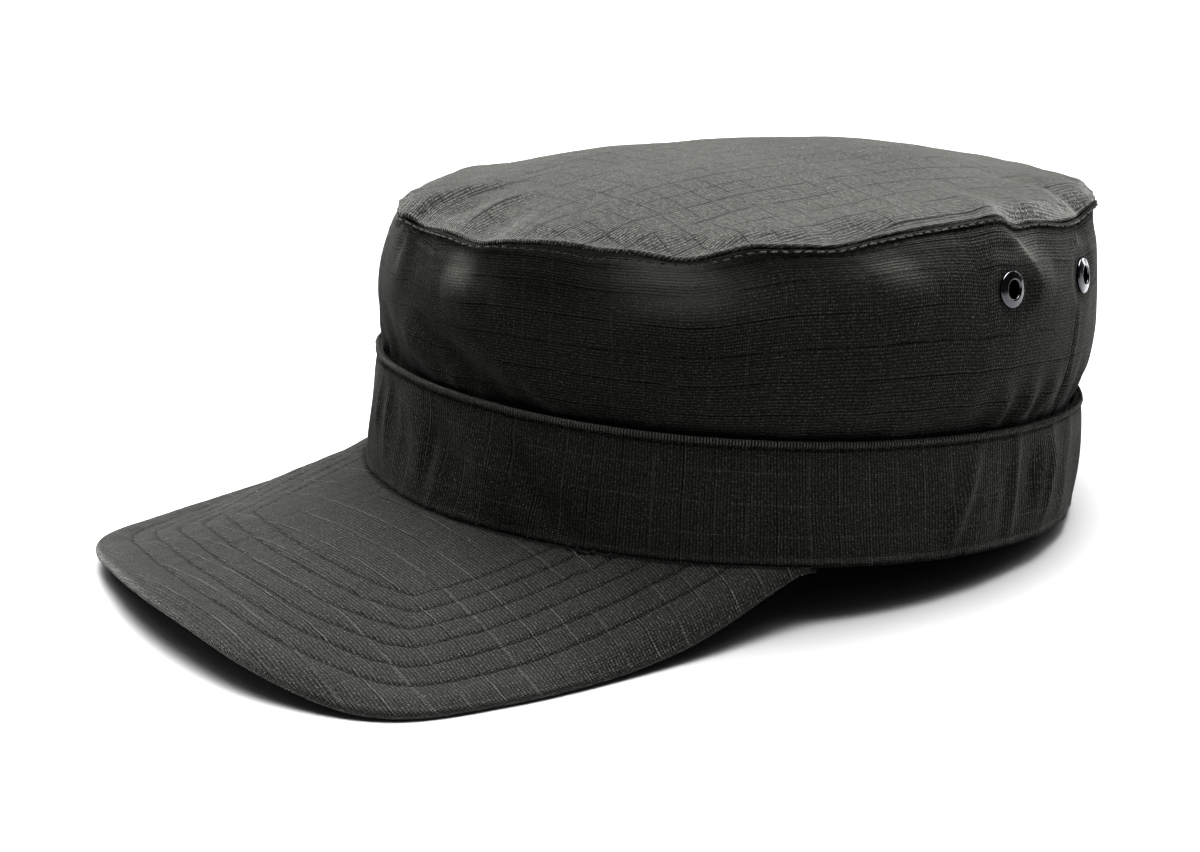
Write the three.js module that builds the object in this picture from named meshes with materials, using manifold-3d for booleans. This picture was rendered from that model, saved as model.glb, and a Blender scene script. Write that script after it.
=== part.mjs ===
// A ripstop patrol cap that stands by itself: band, crown side, crown top, visor and four eyelets.
// Millimetres and degrees. In the cap's own frame the hem is the plane z = 0, the front faces -Y and
// the wearer's left is +X. An angle runs round the cap from the front towards the wearer's left.

import * as THREE from "three";
import { mergeVertices } from "three/addons/utils/BufferGeometryUtils.js";
import Module from "manifold-3d";

// Cloth, clearance and fineness.
const CLOTH = 2;
const GAP = 0.3;
const AROUND = 88;

// Stance: the hem plane rises towards the front, and the cloth that meets the floor is pressed flat.
const STANCE_TILT = 6.25;
const FLOOR_PRESS = 0.8;

// Level sections of the outer cloth, from the hem up. Heights are those at the front and the rear,
// and lean is what the wearer's left stands higher than the middle.
const SECTIONS = {
  hem: { halfWidth: 91.5, halfLength: 98.2, power: 2, shift: 0, front: 0, rear: 0, lean: 0 },
  bandTop: { halfWidth: 87, halfLength: 96.3, power: 2.13, shift: 0.5, front: 29.6, rear: 27, lean: 0 },
  tuck: { halfWidth: 85.2, halfLength: 94, power: 2.1, shift: 0.5, front: 22, rear: 20, lean: 0 },
  throat: { halfWidth: 84.7, halfLength: 94, power: 2.13, shift: 0.5, front: 30.5, rear: 28, lean: 0 },
  swell: { halfWidth: 87, halfLength: 96.8, power: 2.12, shift: 1, front: 38, rear: 36.5, lean: 0.5 },
  waist: { halfWidth: 87.6, halfLength: 99.2, power: 2.05, shift: 1.8, front: 53, rear: 55.5, lean: 1.5 },
  chest: { halfWidth: 86, halfLength: 99.4, power: 2.05, shift: 2, front: 62.5, rear: 67.5, lean: 2.5 },
  shoulder: { halfWidth: 82.6, halfLength: 98.2, power: 2.2, shift: 1, front: 66, rear: 73.6, lean: 3.6 },
  seam: { halfWidth: 77.8, halfLength: 96.6, power: 2.6, shift: 0, front: 68, rear: 77, lean: 4.6 },
};
const CROWN_SECTIONS = ["tuck", "throat", "swell", "waist", "chest", "shoulder", "seam"];

// How much of the seam's waves each crown section takes.
const WAVE_SHARE = { chest: 0.25, shoulder: 0.7, seam: 1 };

// The rest of the crown.
const DOME = { rise: 13.6, power: 2.3, edgeLift: 1.2, waveReach: 5 };
const BAND_FOLD = 0.7;
const SEAM_OVERHANG = 0.6;

// Folds: where their lower end lies, how far the line has moved at its upper end, the stretch of the
// piece's height that it takes as shares, its half width in degrees and how far the cloth stands out.
const BAND_FOLDS = [
  { angle: 12, lean: -12, from: 0.05, to: 0.9, width: 4, rise: -1.3 },
  { angle: 21, lean: -13, from: 0, to: 0.85, width: 4, rise: 0.8 },
  { angle: 31, lean: -14, from: 0, to: 0.8, width: 4.5, rise: -1 },
  { angle: -4, lean: -10, from: 0.1, to: 1, width: 3.5, rise: -1 },
  { angle: -24, lean: 5, from: 0, to: 1, width: 3, rise: 0.8 },
  { angle: 93, lean: 7, from: 0, to: 1, width: 2.5, rise: 1.1 },
  { angle: 106, lean: 5, from: 0, to: 1, width: 3, rise: 1.2 },
  { angle: 117, lean: 4, from: 0, to: 1, width: 2.2, rise: 1.1 },
  { angle: 129, lean: 3, from: 0, to: 1, width: 3, rise: 0.9 },
  { angle: -58, lean: 6, from: 0, to: 0.9, width: 5, rise: -0.9 },
  { angle: -97, lean: -6, from: 0, to: 1, width: 3, rise: 1 },
  { angle: -112, lean: -4, from: 0, to: 1, width: 2.6, rise: 1.1 },
  { angle: -126, lean: -3, from: 0, to: 1, width: 3, rise: 0.9 },
];
const CROWN_FOLDS = [
  { angle: 17, lean: -20, from: 0.12, to: 0.55, width: 5, rise: -1.8 },
  { angle: 29, lean: -20, from: 0.12, to: 0.5, width: 4.5, rise: 1.2 },
  { angle: 5, lean: -18, from: 0.12, to: 0.5, width: 4, rise: 1.2 },
  { angle: -12, lean: -8, from: 0.12, to: 0.5, width: 3.5, rise: -1.2 },
  { angle: 107, lean: -9, from: 0.72, to: 1.15, width: 4, rise: -1.4 },
  { angle: -50, lean: 10, from: 0.12, to: 0.55, width: 5, rise: -1.4 },
  { angle: -108, lean: 8, from: 0.75, to: 1.15, width: 4, rise: -1.2 },
  { angle: 176, lean: 0, from: 0.1, to: 0.6, width: 5, rise: -1.2 },
];

// Gathers of the crown side where the band takes it in.
const GATHERS = [
  { from: 88, to: 138, count: 7, rise: 1.1 },
  { from: -138, to: -90, count: 6, rise: 1 },
  { from: -34, to: -14, count: 3, rise: 0.8 },
];
const GATHER_TOP = 0.42;

// The top seam: pinched corners stand out and up, and between them the cloth dips or draws in.
const SEAM_WAVES = [
  { angle: -36, width: 28, out: -7.8, up: 0 },
  { angle: 144, width: 28, out: -4, up: 0 },
  { angle: -30, width: 5, out: 1.6, up: 2.2 },
  { angle: 7, width: 5, out: 0, up: -1.2 },
  { angle: 24, width: 8, out: 0, up: 0.8 },
  { angle: 48, width: 7, out: 0.4, up: -2 },
  { angle: 90, width: 10, out: 0, up: 1.8 },
  { angle: 112, width: 9, out: 0, up: -2 },
  { angle: 126, width: 5, out: 1.2, up: 1.2 },
  { angle: 166, width: 12, out: 0, up: -1.4 },
  { angle: -150, width: 7, out: 1.2, up: 1.4 },
  { angle: -104, width: 14, out: 0, up: -1.6 },
  { angle: -66, width: 10, out: 0.8, up: 1.2 },
];

// The visor: a board bent over the hem. It falls for each millimetre forwards of the hem by its slope,
// less what it flattens, in the middle of the hem's width and out at either side of it.
const VISOR = { thickness: 3.4, tipThickness: 1.6, halfAngle: 66, tipReach: 3.5, floorBend: 3, press: 0.7 };
const VISOR_FALL = {
  middle: { slope: 0.3, flattening: 0.0008 },
  left: { slope: 0.37, flattening: -0.0006 },
  right: { slope: 0.62, flattening: 0.0042 },
};

// The visor's plan reach by direction from a point inside the band.
const VISOR_PLAN = { x: 0, y: -45 };
const VISOR_REACH = [
  { direction: -90, reach: 82.5 },
  { direction: -68, reach: 90 },
  { direction: -47, reach: 111 },
  { direction: -33, reach: 125.6 },
  { direction: -18, reach: 123 },
  { direction: 0, reach: 122 },
  { direction: 18, reach: 124.5 },
  { direction: 33, reach: 122.5 },
  { direction: 45, reach: 109 },
  { direction: 68, reach: 89 },
  { direction: 90, reach: 82.5 },
];

// Eyelets: two a side, by angle and by share of the crown side's height.
const EYELET = { flange: 4.6, bore: 2.3, barrel: 3, roll: 0.8, backFlange: 4.6, back: 0.5, sides: 18 };
const EYELETS = [
  { name: "eyelet_left_front", angle: 96.2, share: 0.7 },
  { name: "eyelet_left_rear", angle: 118.4, share: 0.715 },
  { name: "eyelet_right_front", angle: -96.2, share: 0.7 },
  { name: "eyelet_right_rear", angle: -118.4, share: 0.715 },
];

const MATERIALS = {
  sideCloth: { color: 0x232322, roughness: 0.92, metalness: 0 },
  topCloth: { color: 0x2b2b29, roughness: 0.92, metalness: 0 },
  bandCloth: { color: 0x262624, roughness: 0.92, metalness: 0 },
  visorCloth: { color: 0x2a2a27, roughness: 0.92, metalness: 0 },
  eyeletMetal: { color: 0x0c0c0d, roughness: 0.25, metalness: 0.7 },
};

const wasm = await Module();
wasm.setup();

const radians = THREE.MathUtils.degToRad;
const smoothstep = THREE.MathUtils.smoothstep;

// The signed power that a superellipse is made with.
function signedPower(value, exponent) {
  return Math.sign(value) * Math.abs(value) ** exponent;
}

// A section's point at an angle.
function sectionPoint(section, angle) {
  const exponent = 2 / section.power;
  const x = section.halfWidth * signedPower(Math.sin(radians(angle)), exponent);
  const y = -section.halfLength * signedPower(Math.cos(radians(angle)), exponent);
  const rearShare = (1 + y / section.halfLength) / 2;
  const level = THREE.MathUtils.lerp(section.front, section.rear, rearShare);
  return new THREE.Vector3(x, y + section.shift, level + (section.lean * x) / section.halfWidth);
}

// The level direction that faces straight out of a section at an angle.
function outward(section, angle) {
  const exponent = 2 - 2 / section.power;
  return new THREE.Vector3(
    signedPower(Math.sin(radians(angle)), exponent) / section.halfWidth,
    -signedPower(Math.cos(radians(angle)), exponent) / section.halfLength,
    0,
  ).normalize();
}

// The shorter way between two angles.
function turnBetween(from, to) {
  return ((((to - from) % 360) + 540) % 360) - 180;
}

function bell(distance, width) {
  return Math.exp(-((distance / width) ** 2));
}

// How far folded cloth stands out at an angle and a share of its piece's height.
function foldRise(folds, angle, share) {
  let rise = 0;
  for (const fold of folds) {
    const along = (share - fold.from) / (fold.to - fold.from);
    if (along <= 0 || along >= 1) continue;
    const distance = turnBetween(fold.angle + fold.lean * along, angle);
    rise += fold.rise * bell(distance, fold.width) * Math.sin(Math.PI * along) ** 0.7;
  }
  return rise;
}

function gatherRise(angle, share) {
  const fade = 1 - smoothstep(share, 0.1, GATHER_TOP);
  let rise = 0;
  for (const gather of GATHERS) {
    const along = (angle - gather.from) / (gather.to - gather.from);
    if (along <= 0 || along >= 1) continue;
    rise += gather.rise * fade * Math.sin(Math.PI * along) ** 0.5 * Math.sin(2 * Math.PI * gather.count * along);
  }
  return rise;
}

function seamWave(angle) {
  const wave = { out: 0, up: 0 };
  for (const { angle: at, width, out, up } of SEAM_WAVES) {
    const near = bell(turnBetween(at, angle), width);
    wave.out += out * near;
    wave.up += up * near;
  }
  return wave;
}

// The floor in the cap's own frame, a little above the lowest point of the hem so that cloth is pressed on it.
const lowestHem = sectionPoint(SECTIONS.hem, 180);
const floorNormal = new THREE.Vector3(0, Math.sin(-radians(STANCE_TILT)), Math.cos(radians(STANCE_TILT)));
const pressed = lowestHem.clone().addScaledVector(floorNormal, FLOOR_PRESS);
const floor = new THREE.Plane().setFromNormalAndCoplanarPoint(floorNormal, pressed);

// Cloth that would reach through the floor lies on it.
function settle(point) {
  const height = floor.distanceToPoint(point);
  return height < 0 ? point.addScaledVector(floor.normal, -height) : point;
}

// A closed body swept round the cap: its cross section is one loop of points for each angle.
function ringBody(loopAt) {
  const positions = [];
  const index = [];
  let count = 0;
  for (let step = 0; step < AROUND; step++) {
    const loop = loopAt((360 * step) / AROUND - 180);
    count = loop.length;
    for (const point of loop) positions.push(...settle(point).toArray());
  }
  for (let step = 0; step < AROUND; step++) {
    const next = (step + 1) % AROUND;
    for (let i = 0; i < count; i++) {
      const j = (i + 1) % count;
      const [a, b] = [step * count + i, next * count + i];
      const [c, d] = [next * count + j, step * count + j];
      index.push(a, b, c, a, c, d);
    }
  }
  return bodyFrom(positions, index);
}

// A closed body swept from one end to the other, its end loops filled with fans.
function stripBody(loops) {
  const positions = loops.flatMap((loop) => loop.flatMap((point) => settle(point).toArray()));
  const count = loops[0].length;
  const last = (loops.length - 1) * count;
  const index = [];
  for (let row = 0; row < loops.length - 1; row++) {
    for (let i = 0; i < count; i++) {
      const j = (i + 1) % count;
      const [a, b] = [row * count + i, (row + 1) * count + i];
      const [c, d] = [(row + 1) * count + j, row * count + j];
      index.push(a, b, c, a, c, d);
    }
  }
  for (let i = 1; i < count - 1; i++) {
    index.push(0, i, i + 1, last, last + i + 1, last + i);
  }
  return bodyFrom(positions, index);
}

// A closed disc body: each angle has a path from the upper middle out over the rim to the lower middle.
function discBody(pathAt, upper, lower) {
  const positions = [...upper.toArray(), ...lower.toArray()];
  const index = [];
  let count = 0;
  for (let step = 0; step < AROUND; step++) {
    const path = pathAt((360 * step) / AROUND - 180);
    count = path.length;
    for (const point of path) positions.push(...settle(point).toArray());
  }
  for (let step = 0; step < AROUND; step++) {
    const here = 2 + step * count;
    const next = 2 + ((step + 1) % AROUND) * count;
    index.push(0, here, next);
    for (let i = 0; i < count - 1; i++) {
      index.push(here + i, here + i + 1, next + i + 1, here + i, next + i + 1, next + i);
    }
    index.push(here + count - 1, 1, next + count - 1);
  }
  return bodyFrom(positions, index);
}

// A geometry from positions and triangles, with its faces turned out.
function bodyFrom(positions, index) {
  const geometry = new THREE.BufferGeometry();
  geometry.setAttribute("position", new THREE.Float32BufferAttribute(positions, 3));
  geometry.setIndex(index);
  if (signedVolume(geometry) < 0) geometry.setIndex(index.toReversed());
  return geometry;
}

function signedVolume(geometry) {
  const points = geometry.getAttribute("position");
  const index = geometry.getIndex();
  const [a, b, c] = [new THREE.Vector3(), new THREE.Vector3(), new THREE.Vector3()];
  let volume = 0;
  for (let i = 0; i < index.count; i += 3) {
    a.fromBufferAttribute(points, index.getX(i));
    b.fromBufferAttribute(points, index.getX(i + 1));
    c.fromBufferAttribute(points, index.getX(i + 2));
    volume += a.dot(b.cross(c)) / 6;
  }
  return volume;
}

// Band: outer face up to the folded edge, over the fold, and down the inner face.
function bandGeometry() {
  const outerShares = [0, 0.1, 0.25, 0.45, 0.65, 0.85, 0.95];
  const innerShares = [0.95, 0.6, 0.3, 0];
  return ringBody((angle) => {
    const low = sectionPoint(SECTIONS.hem, angle);
    const high = sectionPoint(SECTIONS.bandTop, angle);
    const out = outward(SECTIONS.hem, angle);
    const at = (share, offset) =>
      low.clone().lerp(high, share).addScaledVector(out, offset + foldRise(BAND_FOLDS, angle, share));
    return [
      ...outerShares.map((share) => at(share, share > 0.9 ? BAND_FOLD : 0)),
      at(1, -CLOTH / 4),
      ...innerShares.map((share) => at(share, -CLOTH)),
    ];
  });
}

// The outer cloth of the crown side at an angle, as a curve from the tucked edge up to the seam.
function crownCurve(angle) {
  const wave = seamWave(angle);
  const points = CROWN_SECTIONS.map((name) => {
    const point = sectionPoint(SECTIONS[name], angle);
    const share = WAVE_SHARE[name] ?? 0;
    point.addScaledVector(outward(SECTIONS[name], angle), wave.out * share);
    point.z += wave.up * share;
    return point;
  });
  return new THREE.CatmullRomCurve3(points, false, "centripetal");
}

// A point of the crown side's outer cloth, moved by an offset square to the cloth.
function crownPoint(angle, share, offset = 0) {
  const curve = crownCurve(angle);
  const rise = foldRise(CROWN_FOLDS, angle, share) + gatherRise(angle, share);
  const tucked = smoothstep(share, 0.1, 0.2);
  const upwards = curve.getTangentAt(share);
  const out = outward(SECTIONS.waist, angle);
  const square = out.clone().addScaledVector(upwards, -out.dot(upwards)).normalize();
  return curve.getPointAt(share).addScaledVector(out, rise * tucked).addScaledVector(square, offset);
}

function crownSideGeometry() {
  const outerShares = [0, 0.12, 0.18, 0.25, 0.34, 0.44, 0.55, 0.66, 0.77, 0.88, 0.95, 1];
  const innerShares = [1, 0.94, 0.86, 0.77, 0.68, 0.58, 0.42, 0.2, 0];
  const side = ringBody((angle) => [
    ...outerShares.map((share) => crownPoint(angle, share)),
    ...innerShares.map((share) => crownPoint(angle, share, -CLOTH)),
  ]);
  return EYELETS.reduce((cloth, eyelet) => cut(cloth, eyeletHole(eyelet)), side);
}

// Crown top: a low dome that rises a little at once inside its seam.
function crownTopGeometry() {
  const upperShares = [0.12, 0.3, 0.48, 0.64, 0.78, 0.89, 0.96, 1];
  const lowerShares = [1, 0.92, 0.75, 0.5, 0.2];
  const middle = new THREE.Vector3(0, SECTIONS.seam.shift, (SECTIONS.seam.front + SECTIONS.seam.rear) / 2);
  const domeAt = (angle, share, offset) => {
    const plain = sectionPoint(SECTIONS.seam, angle);
    const edge = crownPoint(angle, 1).addScaledVector(outward(SECTIONS.seam, angle), SEAM_OVERHANG);
    const point = middle.clone().lerp(plain.lerp(edge, share ** DOME.waveReach), share);
    point.z += DOME.rise * (1 - share ** DOME.power) + offset;
    point.z += share < 1 ? DOME.edgeLift * (1 - smoothstep(1 - share, 0.04, 0.3)) * (1 - bell(1 - share, 0.03)) : 0;
    return point;
  };
  return discBody(
    (angle) => [
      ...upperShares.map((share) => domeAt(angle, share, CLOTH + GAP)),
      ...lowerShares.map((share) => domeAt(angle, share, GAP)),
    ],
    middle.clone().setZ(middle.z + DOME.rise + CLOTH + GAP),
    middle.clone().setZ(middle.z + DOME.rise + GAP),
  );
}

// Where the hem's front half lies for a sideways distance.
function hemFront(x) {
  const { halfWidth, halfLength, power, shift } = SECTIONS.hem;
  const across = Math.min(Math.abs(x) / halfWidth, 0.985);
  return shift - halfLength * (1 - across ** power) ** (1 / power);
}

// The height of the visor's upper face: a board that falls forwards from the hem line and bends where
// it would reach through the floor.
function visorHeight(x, y) {
  const across = x / SECTIONS.hem.halfWidth;
  const side = across > 0 ? VISOR_FALL.left : VISOR_FALL.right;
  const slope = THREE.MathUtils.lerp(VISOR_FALL.middle.slope, side.slope, across ** 2);
  const flattening = THREE.MathUtils.lerp(VISOR_FALL.middle.flattening, side.flattening, across ** 2);
  const forwards = Math.max(0, hemFront(x) - y);
  const hanging = -GAP - slope * forwards + flattening * forwards ** 2;
  const resting = -(floor.normal.y * y + floor.constant) / floor.normal.z + VISOR.thickness - VISOR.press;
  return (hanging + resting + Math.hypot(hanging - resting, VISOR.floorBend)) / 2;
}

// The visor's outer edge in plan, as a smooth curve through the reaches.
const visorEdge = new THREE.CatmullRomCurve3(
  VISOR_REACH.map(({ direction, reach }) => {
    const turn = radians(direction);
    return new THREE.Vector3(
      VISOR_PLAN.x + reach * Math.sin(turn),
      VISOR_PLAN.y - reach * Math.cos(turn),
      0,
    );
  }),
  false,
  "centripetal",
);

// One section across the visor, from under the band out to the rounded edge and back.
function visorLoop(share) {
  const angle = VISOR.halfAngle * (2 * share - 1);
  const inner = sectionPoint(SECTIONS.hem, angle);
  inner.addScaledVector(outward(SECTIONS.hem, angle), -CLOTH / 2);
  const outer = visorEdge.getPointAt(share);
  const reach = Math.max(VISOR.tipReach, inner.distanceTo(outer));
  const direction = outer.clone().sub(inner).normalize();
  const thickness = THREE.MathUtils.lerp(
    VISOR.tipThickness,
    VISOR.thickness,
    smoothstep(reach, VISOR.tipReach, 25),
  );
  const radius = thickness / 2;
  const at = (distance, drop) => {
    const point = inner.clone().addScaledVector(direction, distance);
    return point.setZ(visorHeight(point.x, point.y) - drop);
  };
  const loop = [];
  const across = 9;
  for (let i = 0; i <= across; i++) loop.push(at(((reach - radius) * i) / across, 0));
  for (const turn of [36, 72, 108, 144]) {
    const side = Math.sin(radians(turn));
    loop.push(at(reach - radius + radius * side, radius * (1 - Math.cos(radians(turn)))));
  }
  for (let i = across; i >= 0; i--) loop.push(at(((reach - radius) * i) / across, thickness));
  return loop;
}

function visorGeometry() {
  const steps = 36;
  const loops = [];
  for (let i = 0; i <= steps; i++) loops.push(visorLoop(i / steps));
  return stripBody(loops);
}

// Where an eyelet sits: its middle on the cloth, the direction that it faces, and the heights above
// that middle of the flanges' inner faces, which clear the highest and lowest cloth between them.
function eyeletPlace({ angle, share }) {
  const middle = crownPoint(angle, share);
  const up = crownPoint(angle, share + 0.06).sub(crownPoint(angle, share - 0.06));
  const along = crownPoint(angle + 3, share).sub(crownPoint(angle - 3, share));
  const facing = along.cross(up).normalize();
  const heights = [];
  for (let turn = -4; turn <= 4; turn++) {
    for (let rise = -4; rise <= 4; rise++) {
      const reach = crownPoint(angle + turn, share + rise * 0.025).sub(middle);
      const height = reach.dot(facing);
      if (reach.length() < EYELET.flange + 1) heights.push(height);
    }
  }
  const front = Math.max(...heights) + GAP;
  const rear = Math.min(...heights) - CLOTH - GAP;
  return { middle, facing, front, rear };
}

function placed(geometry, { middle, facing }) {
  const turn = new THREE.Quaternion().setFromUnitVectors(new THREE.Vector3(0, 1, 0), facing);
  geometry.applyQuaternion(turn);
  return geometry.translate(middle.x, middle.y, middle.z);
}

function eyeletHole(eyelet) {
  const hole = new THREE.CylinderGeometry(EYELET.barrel + GAP, EYELET.barrel + GAP, 12, EYELET.sides);
  return placed(hole, eyeletPlace(eyelet));
}

// An eyelet turned about its own axis: rolled front flange, barrel and flat back flange.
function eyeletGeometry({ front, rear }) {
  const { flange, bore, barrel, roll, backFlange, back } = EYELET;
  const profile = [
    [bore, rear - back],
    [backFlange, rear - back],
    [backFlange, rear],
    [barrel, rear],
    [barrel, front],
    [flange, front],
    [flange - 0.1, front + roll * 0.55],
    [flange - 1.1, front + roll],
    [bore + 0.9, front + roll * 0.8],
    [bore, front + roll * 0.1],
    [bore, rear - back],
  ].map(([radius, height]) => new THREE.Vector2(radius, height));
  return new THREE.LatheGeometry(profile, EYELET.sides);
}

function manifoldOf(geometry) {
  const bare = geometry.clone();
  bare.deleteAttribute("normal");
  bare.deleteAttribute("uv");
  const merged = mergeVertices(bare, 1e-4);
  const vertProperties = new Float32Array(merged.getAttribute("position").array);
  const triVerts = new Uint32Array(merged.getIndex().array);
  return new wasm.Manifold(new wasm.Mesh({ numProp: 3, vertProperties, triVerts }));
}

function cut(geometry, tool) {
  const mesh = manifoldOf(geometry).subtract(manifoldOf(tool)).getMesh();
  const result = new THREE.BufferGeometry();
  result.setAttribute("position", new THREE.Float32BufferAttribute(mesh.vertProperties, 3));
  result.setIndex(Array.from(mesh.triVerts));
  return result;
}

function addPiece(group, name, geometry, material) {
  const piece = new THREE.Mesh(geometry, new THREE.MeshStandardMaterial(MATERIALS[material]));
  piece.name = name;
  group.add(piece);
  return piece;
}

function addEyelets(group) {
  for (const eyelet of EYELETS) {
    const place = eyeletPlace(eyelet);
    const piece = addPiece(group, eyelet.name, eyeletGeometry(place), "eyeletMetal");
    piece.position.copy(place.middle);
    piece.quaternion.setFromUnitVectors(new THREE.Vector3(0, 1, 0), place.facing);
  }
}

// The cap in its own frame, then leaned back and set down with its footprint round the origin.
const cap = new THREE.Group();
addPiece(cap, "band", bandGeometry(), "bandCloth");
addPiece(cap, "crown_side", crownSideGeometry(), "sideCloth");
addPiece(cap, "crown_top", crownTopGeometry(), "topCloth");
addPiece(cap, "visor", visorGeometry(), "visorCloth");
addEyelets(cap);
cap.rotation.x = -radians(STANCE_TILT);

const part = new THREE.Group();
part.add(cap);
part.updateMatrixWorld(true);
const box = new THREE.Box3().setFromObject(part, true);
const middle = box.getCenter(new THREE.Vector3());
cap.position.set(-middle.x, -middle.y, -box.min.z);
part.updateMatrixWorld(true);

export default part;
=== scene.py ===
"""A black ripstop patrol cap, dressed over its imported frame.

Sizes and places are in millimetres and degrees, in the cap's own frame: the hem is the plane z = 0, the
front faces -Y and the wearer's left is +X. An angle runs round the cap from the front towards the
wearer's left. Stance turns all of it into the part's metres.
"""

import logging
import math
from dataclasses import dataclass, field
from enum import Enum
from functools import lru_cache

import bpy
import numpy as np
from mathutils import Matrix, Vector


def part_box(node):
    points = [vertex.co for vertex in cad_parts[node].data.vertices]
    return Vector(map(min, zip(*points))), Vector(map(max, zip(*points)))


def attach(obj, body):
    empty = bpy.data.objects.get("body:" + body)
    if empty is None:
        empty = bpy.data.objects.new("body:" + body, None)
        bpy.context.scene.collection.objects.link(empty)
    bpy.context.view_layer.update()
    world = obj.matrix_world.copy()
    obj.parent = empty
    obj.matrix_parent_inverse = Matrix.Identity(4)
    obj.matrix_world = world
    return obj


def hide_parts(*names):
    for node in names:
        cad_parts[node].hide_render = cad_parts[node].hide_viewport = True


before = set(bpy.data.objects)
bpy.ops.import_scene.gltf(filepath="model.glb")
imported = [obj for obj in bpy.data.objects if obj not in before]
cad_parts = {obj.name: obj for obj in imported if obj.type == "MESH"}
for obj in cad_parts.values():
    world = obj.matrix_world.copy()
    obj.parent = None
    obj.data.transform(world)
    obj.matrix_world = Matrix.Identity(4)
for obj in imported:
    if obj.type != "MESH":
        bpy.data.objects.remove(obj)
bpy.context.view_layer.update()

LOG = logging.getLogger("cap")
MM = 0.001
UPRIGHT = np.array([0.0, 0.0, 1.0])
Array = np.ndarray


class Grain(Enum):
    """Which way the cloth's ribs run across its two texture directions."""

    ACROSS = 0
    UPWARDS = 1


def signed_power(value: Array, exponent: float) -> Array:
    """A power that keeps the sign."""
    return np.sign(value) * np.abs(value) ** exponent


def smooth_step(value: Array, low: float, high: float) -> Array:
    """Runs smoothly from 0 at low to 1 at high."""
    share = np.clip((value - low) / (high - low), 0.0, 1.0)
    return share * share * (3.0 - 2.0 * share)


def bell(distance: Array, width: float) -> Array:
    """A bell of height 1 that falls off with distance."""
    return np.exp(-((distance / width) ** 2))


def turn_between(start: float, end: Array) -> Array:
    """The shorter way round from one angle to others, in degrees."""
    return (end - start + 540.0) % 360.0 - 180.0


def unit(vectors: Array) -> Array:
    """The vectors at length 1."""
    return vectors / np.maximum(np.linalg.norm(vectors, axis=-1, keepdims=True), 1e-12)


class ClothNoise:
    """Smooth noise over two coordinates, the same in every run."""

    CELLS = 512

    def __init__(self, seed: int) -> None:
        """Draws the lattice.

        Args:
            seed: Sets the lattice's values.
        """
        self.lattice = np.random.default_rng(seed).uniform(-1.0, 1.0, (self.CELLS, self.CELLS))

    def at(self, across: Array, up: Array, around: int = CELLS) -> Array:
        """Reads the noise, one lattice cell to a unit.

        Args:
            across: First coordinate, which repeats after `around` cells.
            up: Second coordinate.
            around: Cells after which the first coordinate comes back to its start.

        Returns:
            Values between -1 and 1.
        """
        across, up = np.broadcast_arrays(across, up)
        column, row = np.floor(across).astype(int), np.floor(up).astype(int)
        share_x = smooth_step(across - column, 0.0, 1.0)
        share_y = smooth_step(up - row, 0.0, 1.0)
        left, right = column % around, (column + 1) % around
        low, high = row % self.CELLS, (row + 1) % self.CELLS
        bottom = self.lattice[left, low] * (1 - share_x) + self.lattice[right, low] * share_x
        top = self.lattice[left, high] * (1 - share_x) + self.lattice[right, high] * share_x
        return bottom * (1 - share_y) + top * share_y


@lru_cache(maxsize=None)
def cloth_noise(seed: int) -> ClothNoise:
    """The noise of a seed, drawn once."""
    return ClothNoise(seed)


@dataclass(frozen=True)
class RingRipple:
    """Soft unevenness round a ring of cloth, in lumps round the cap, each of a length up the cloth."""

    seed: int
    lumps: int
    length: float
    height: float
    start: float = 0.0

    def at(self, angle: Array, up: Array) -> Array:
        """How far the ripple lifts the cloth."""
        around = angle / 360 * self.lumps + self.start
        return self.height * cloth_noise(self.seed).at(around, up / self.length, self.lumps)


@dataclass(frozen=True)
class PlanRipple:
    """Soft unevenness over cloth seen in plan, in lumps of one size."""

    seed: int
    size: float
    height: float

    ORIGIN = 50.0

    def at(self, x: Array, y: Array) -> Array:
        """How far the ripple lifts the cloth."""
        across, up = x / self.size + self.ORIGIN, y / self.size + self.ORIGIN
        return self.height * cloth_noise(self.seed).at(across, up)


@dataclass(frozen=True)
class Ridge:
    """A ridge, a groove or a line of colour beside a seam, at a distance from it; the lines of colour are
    mostly painted highlights and painted shade.
    """

    place: float
    width: float
    rise: float

    def at(self, distance: Array) -> Array:
        """How strong the ridge is at a distance from the seam."""
        return self.rise * bell(distance - self.place, self.width)


def run_along(path: Array) -> Array:
    """The length run at each point of a path, or of each of several paths."""
    steps = np.linalg.norm(np.diff(path, axis=-2), axis=-1)
    return np.concatenate([np.zeros_like(steps[..., :1]), np.cumsum(steps, -1)], -1)


def read_path(path: Array, run: Array, wanted: Array) -> Array:
    """The path's points at the wanted lengths."""
    return np.stack([np.interp(wanted, run, path[:, axis]) for axis in range(path.shape[-1])], -1)


def ring_angles(count: int) -> Array:
    """Angles right round the cap, from the rear by the wearer's right."""
    return np.linspace(-180.0, 180.0, count, endpoint=False)


@dataclass(frozen=True)
class Section:
    """A level section of the cap: a superellipse whose height runs from the front to the rear.

    The shift moves it to the rear, and the lean raises the wearer's left and lowers the right.
    """

    half_width: float
    half_length: float
    power: float
    shift: float
    front: float
    rear: float
    lean: float

    def point(self, angle: Array) -> Array:
        """The section's points at these angles."""
        turn = np.radians(angle)
        x = self.half_width * signed_power(np.sin(turn), 2 / self.power)
        y = -self.half_length * signed_power(np.cos(turn), 2 / self.power)
        rear_share = (1 + y / self.half_length) / 2
        level = self.front + (self.rear - self.front) * rear_share
        return np.stack([x, y + self.shift, level + self.lean * x / self.half_width], -1)

    def outward(self, angle: Array) -> Array:
        """The level directions that face straight out of the section."""
        turn = np.radians(angle)
        exponent = 2 - 2 / self.power
        x = signed_power(np.sin(turn), exponent) / self.half_width
        y = -signed_power(np.cos(turn), exponent) / self.half_length
        return unit(np.stack([x, y, np.zeros_like(x)], -1))


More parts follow.
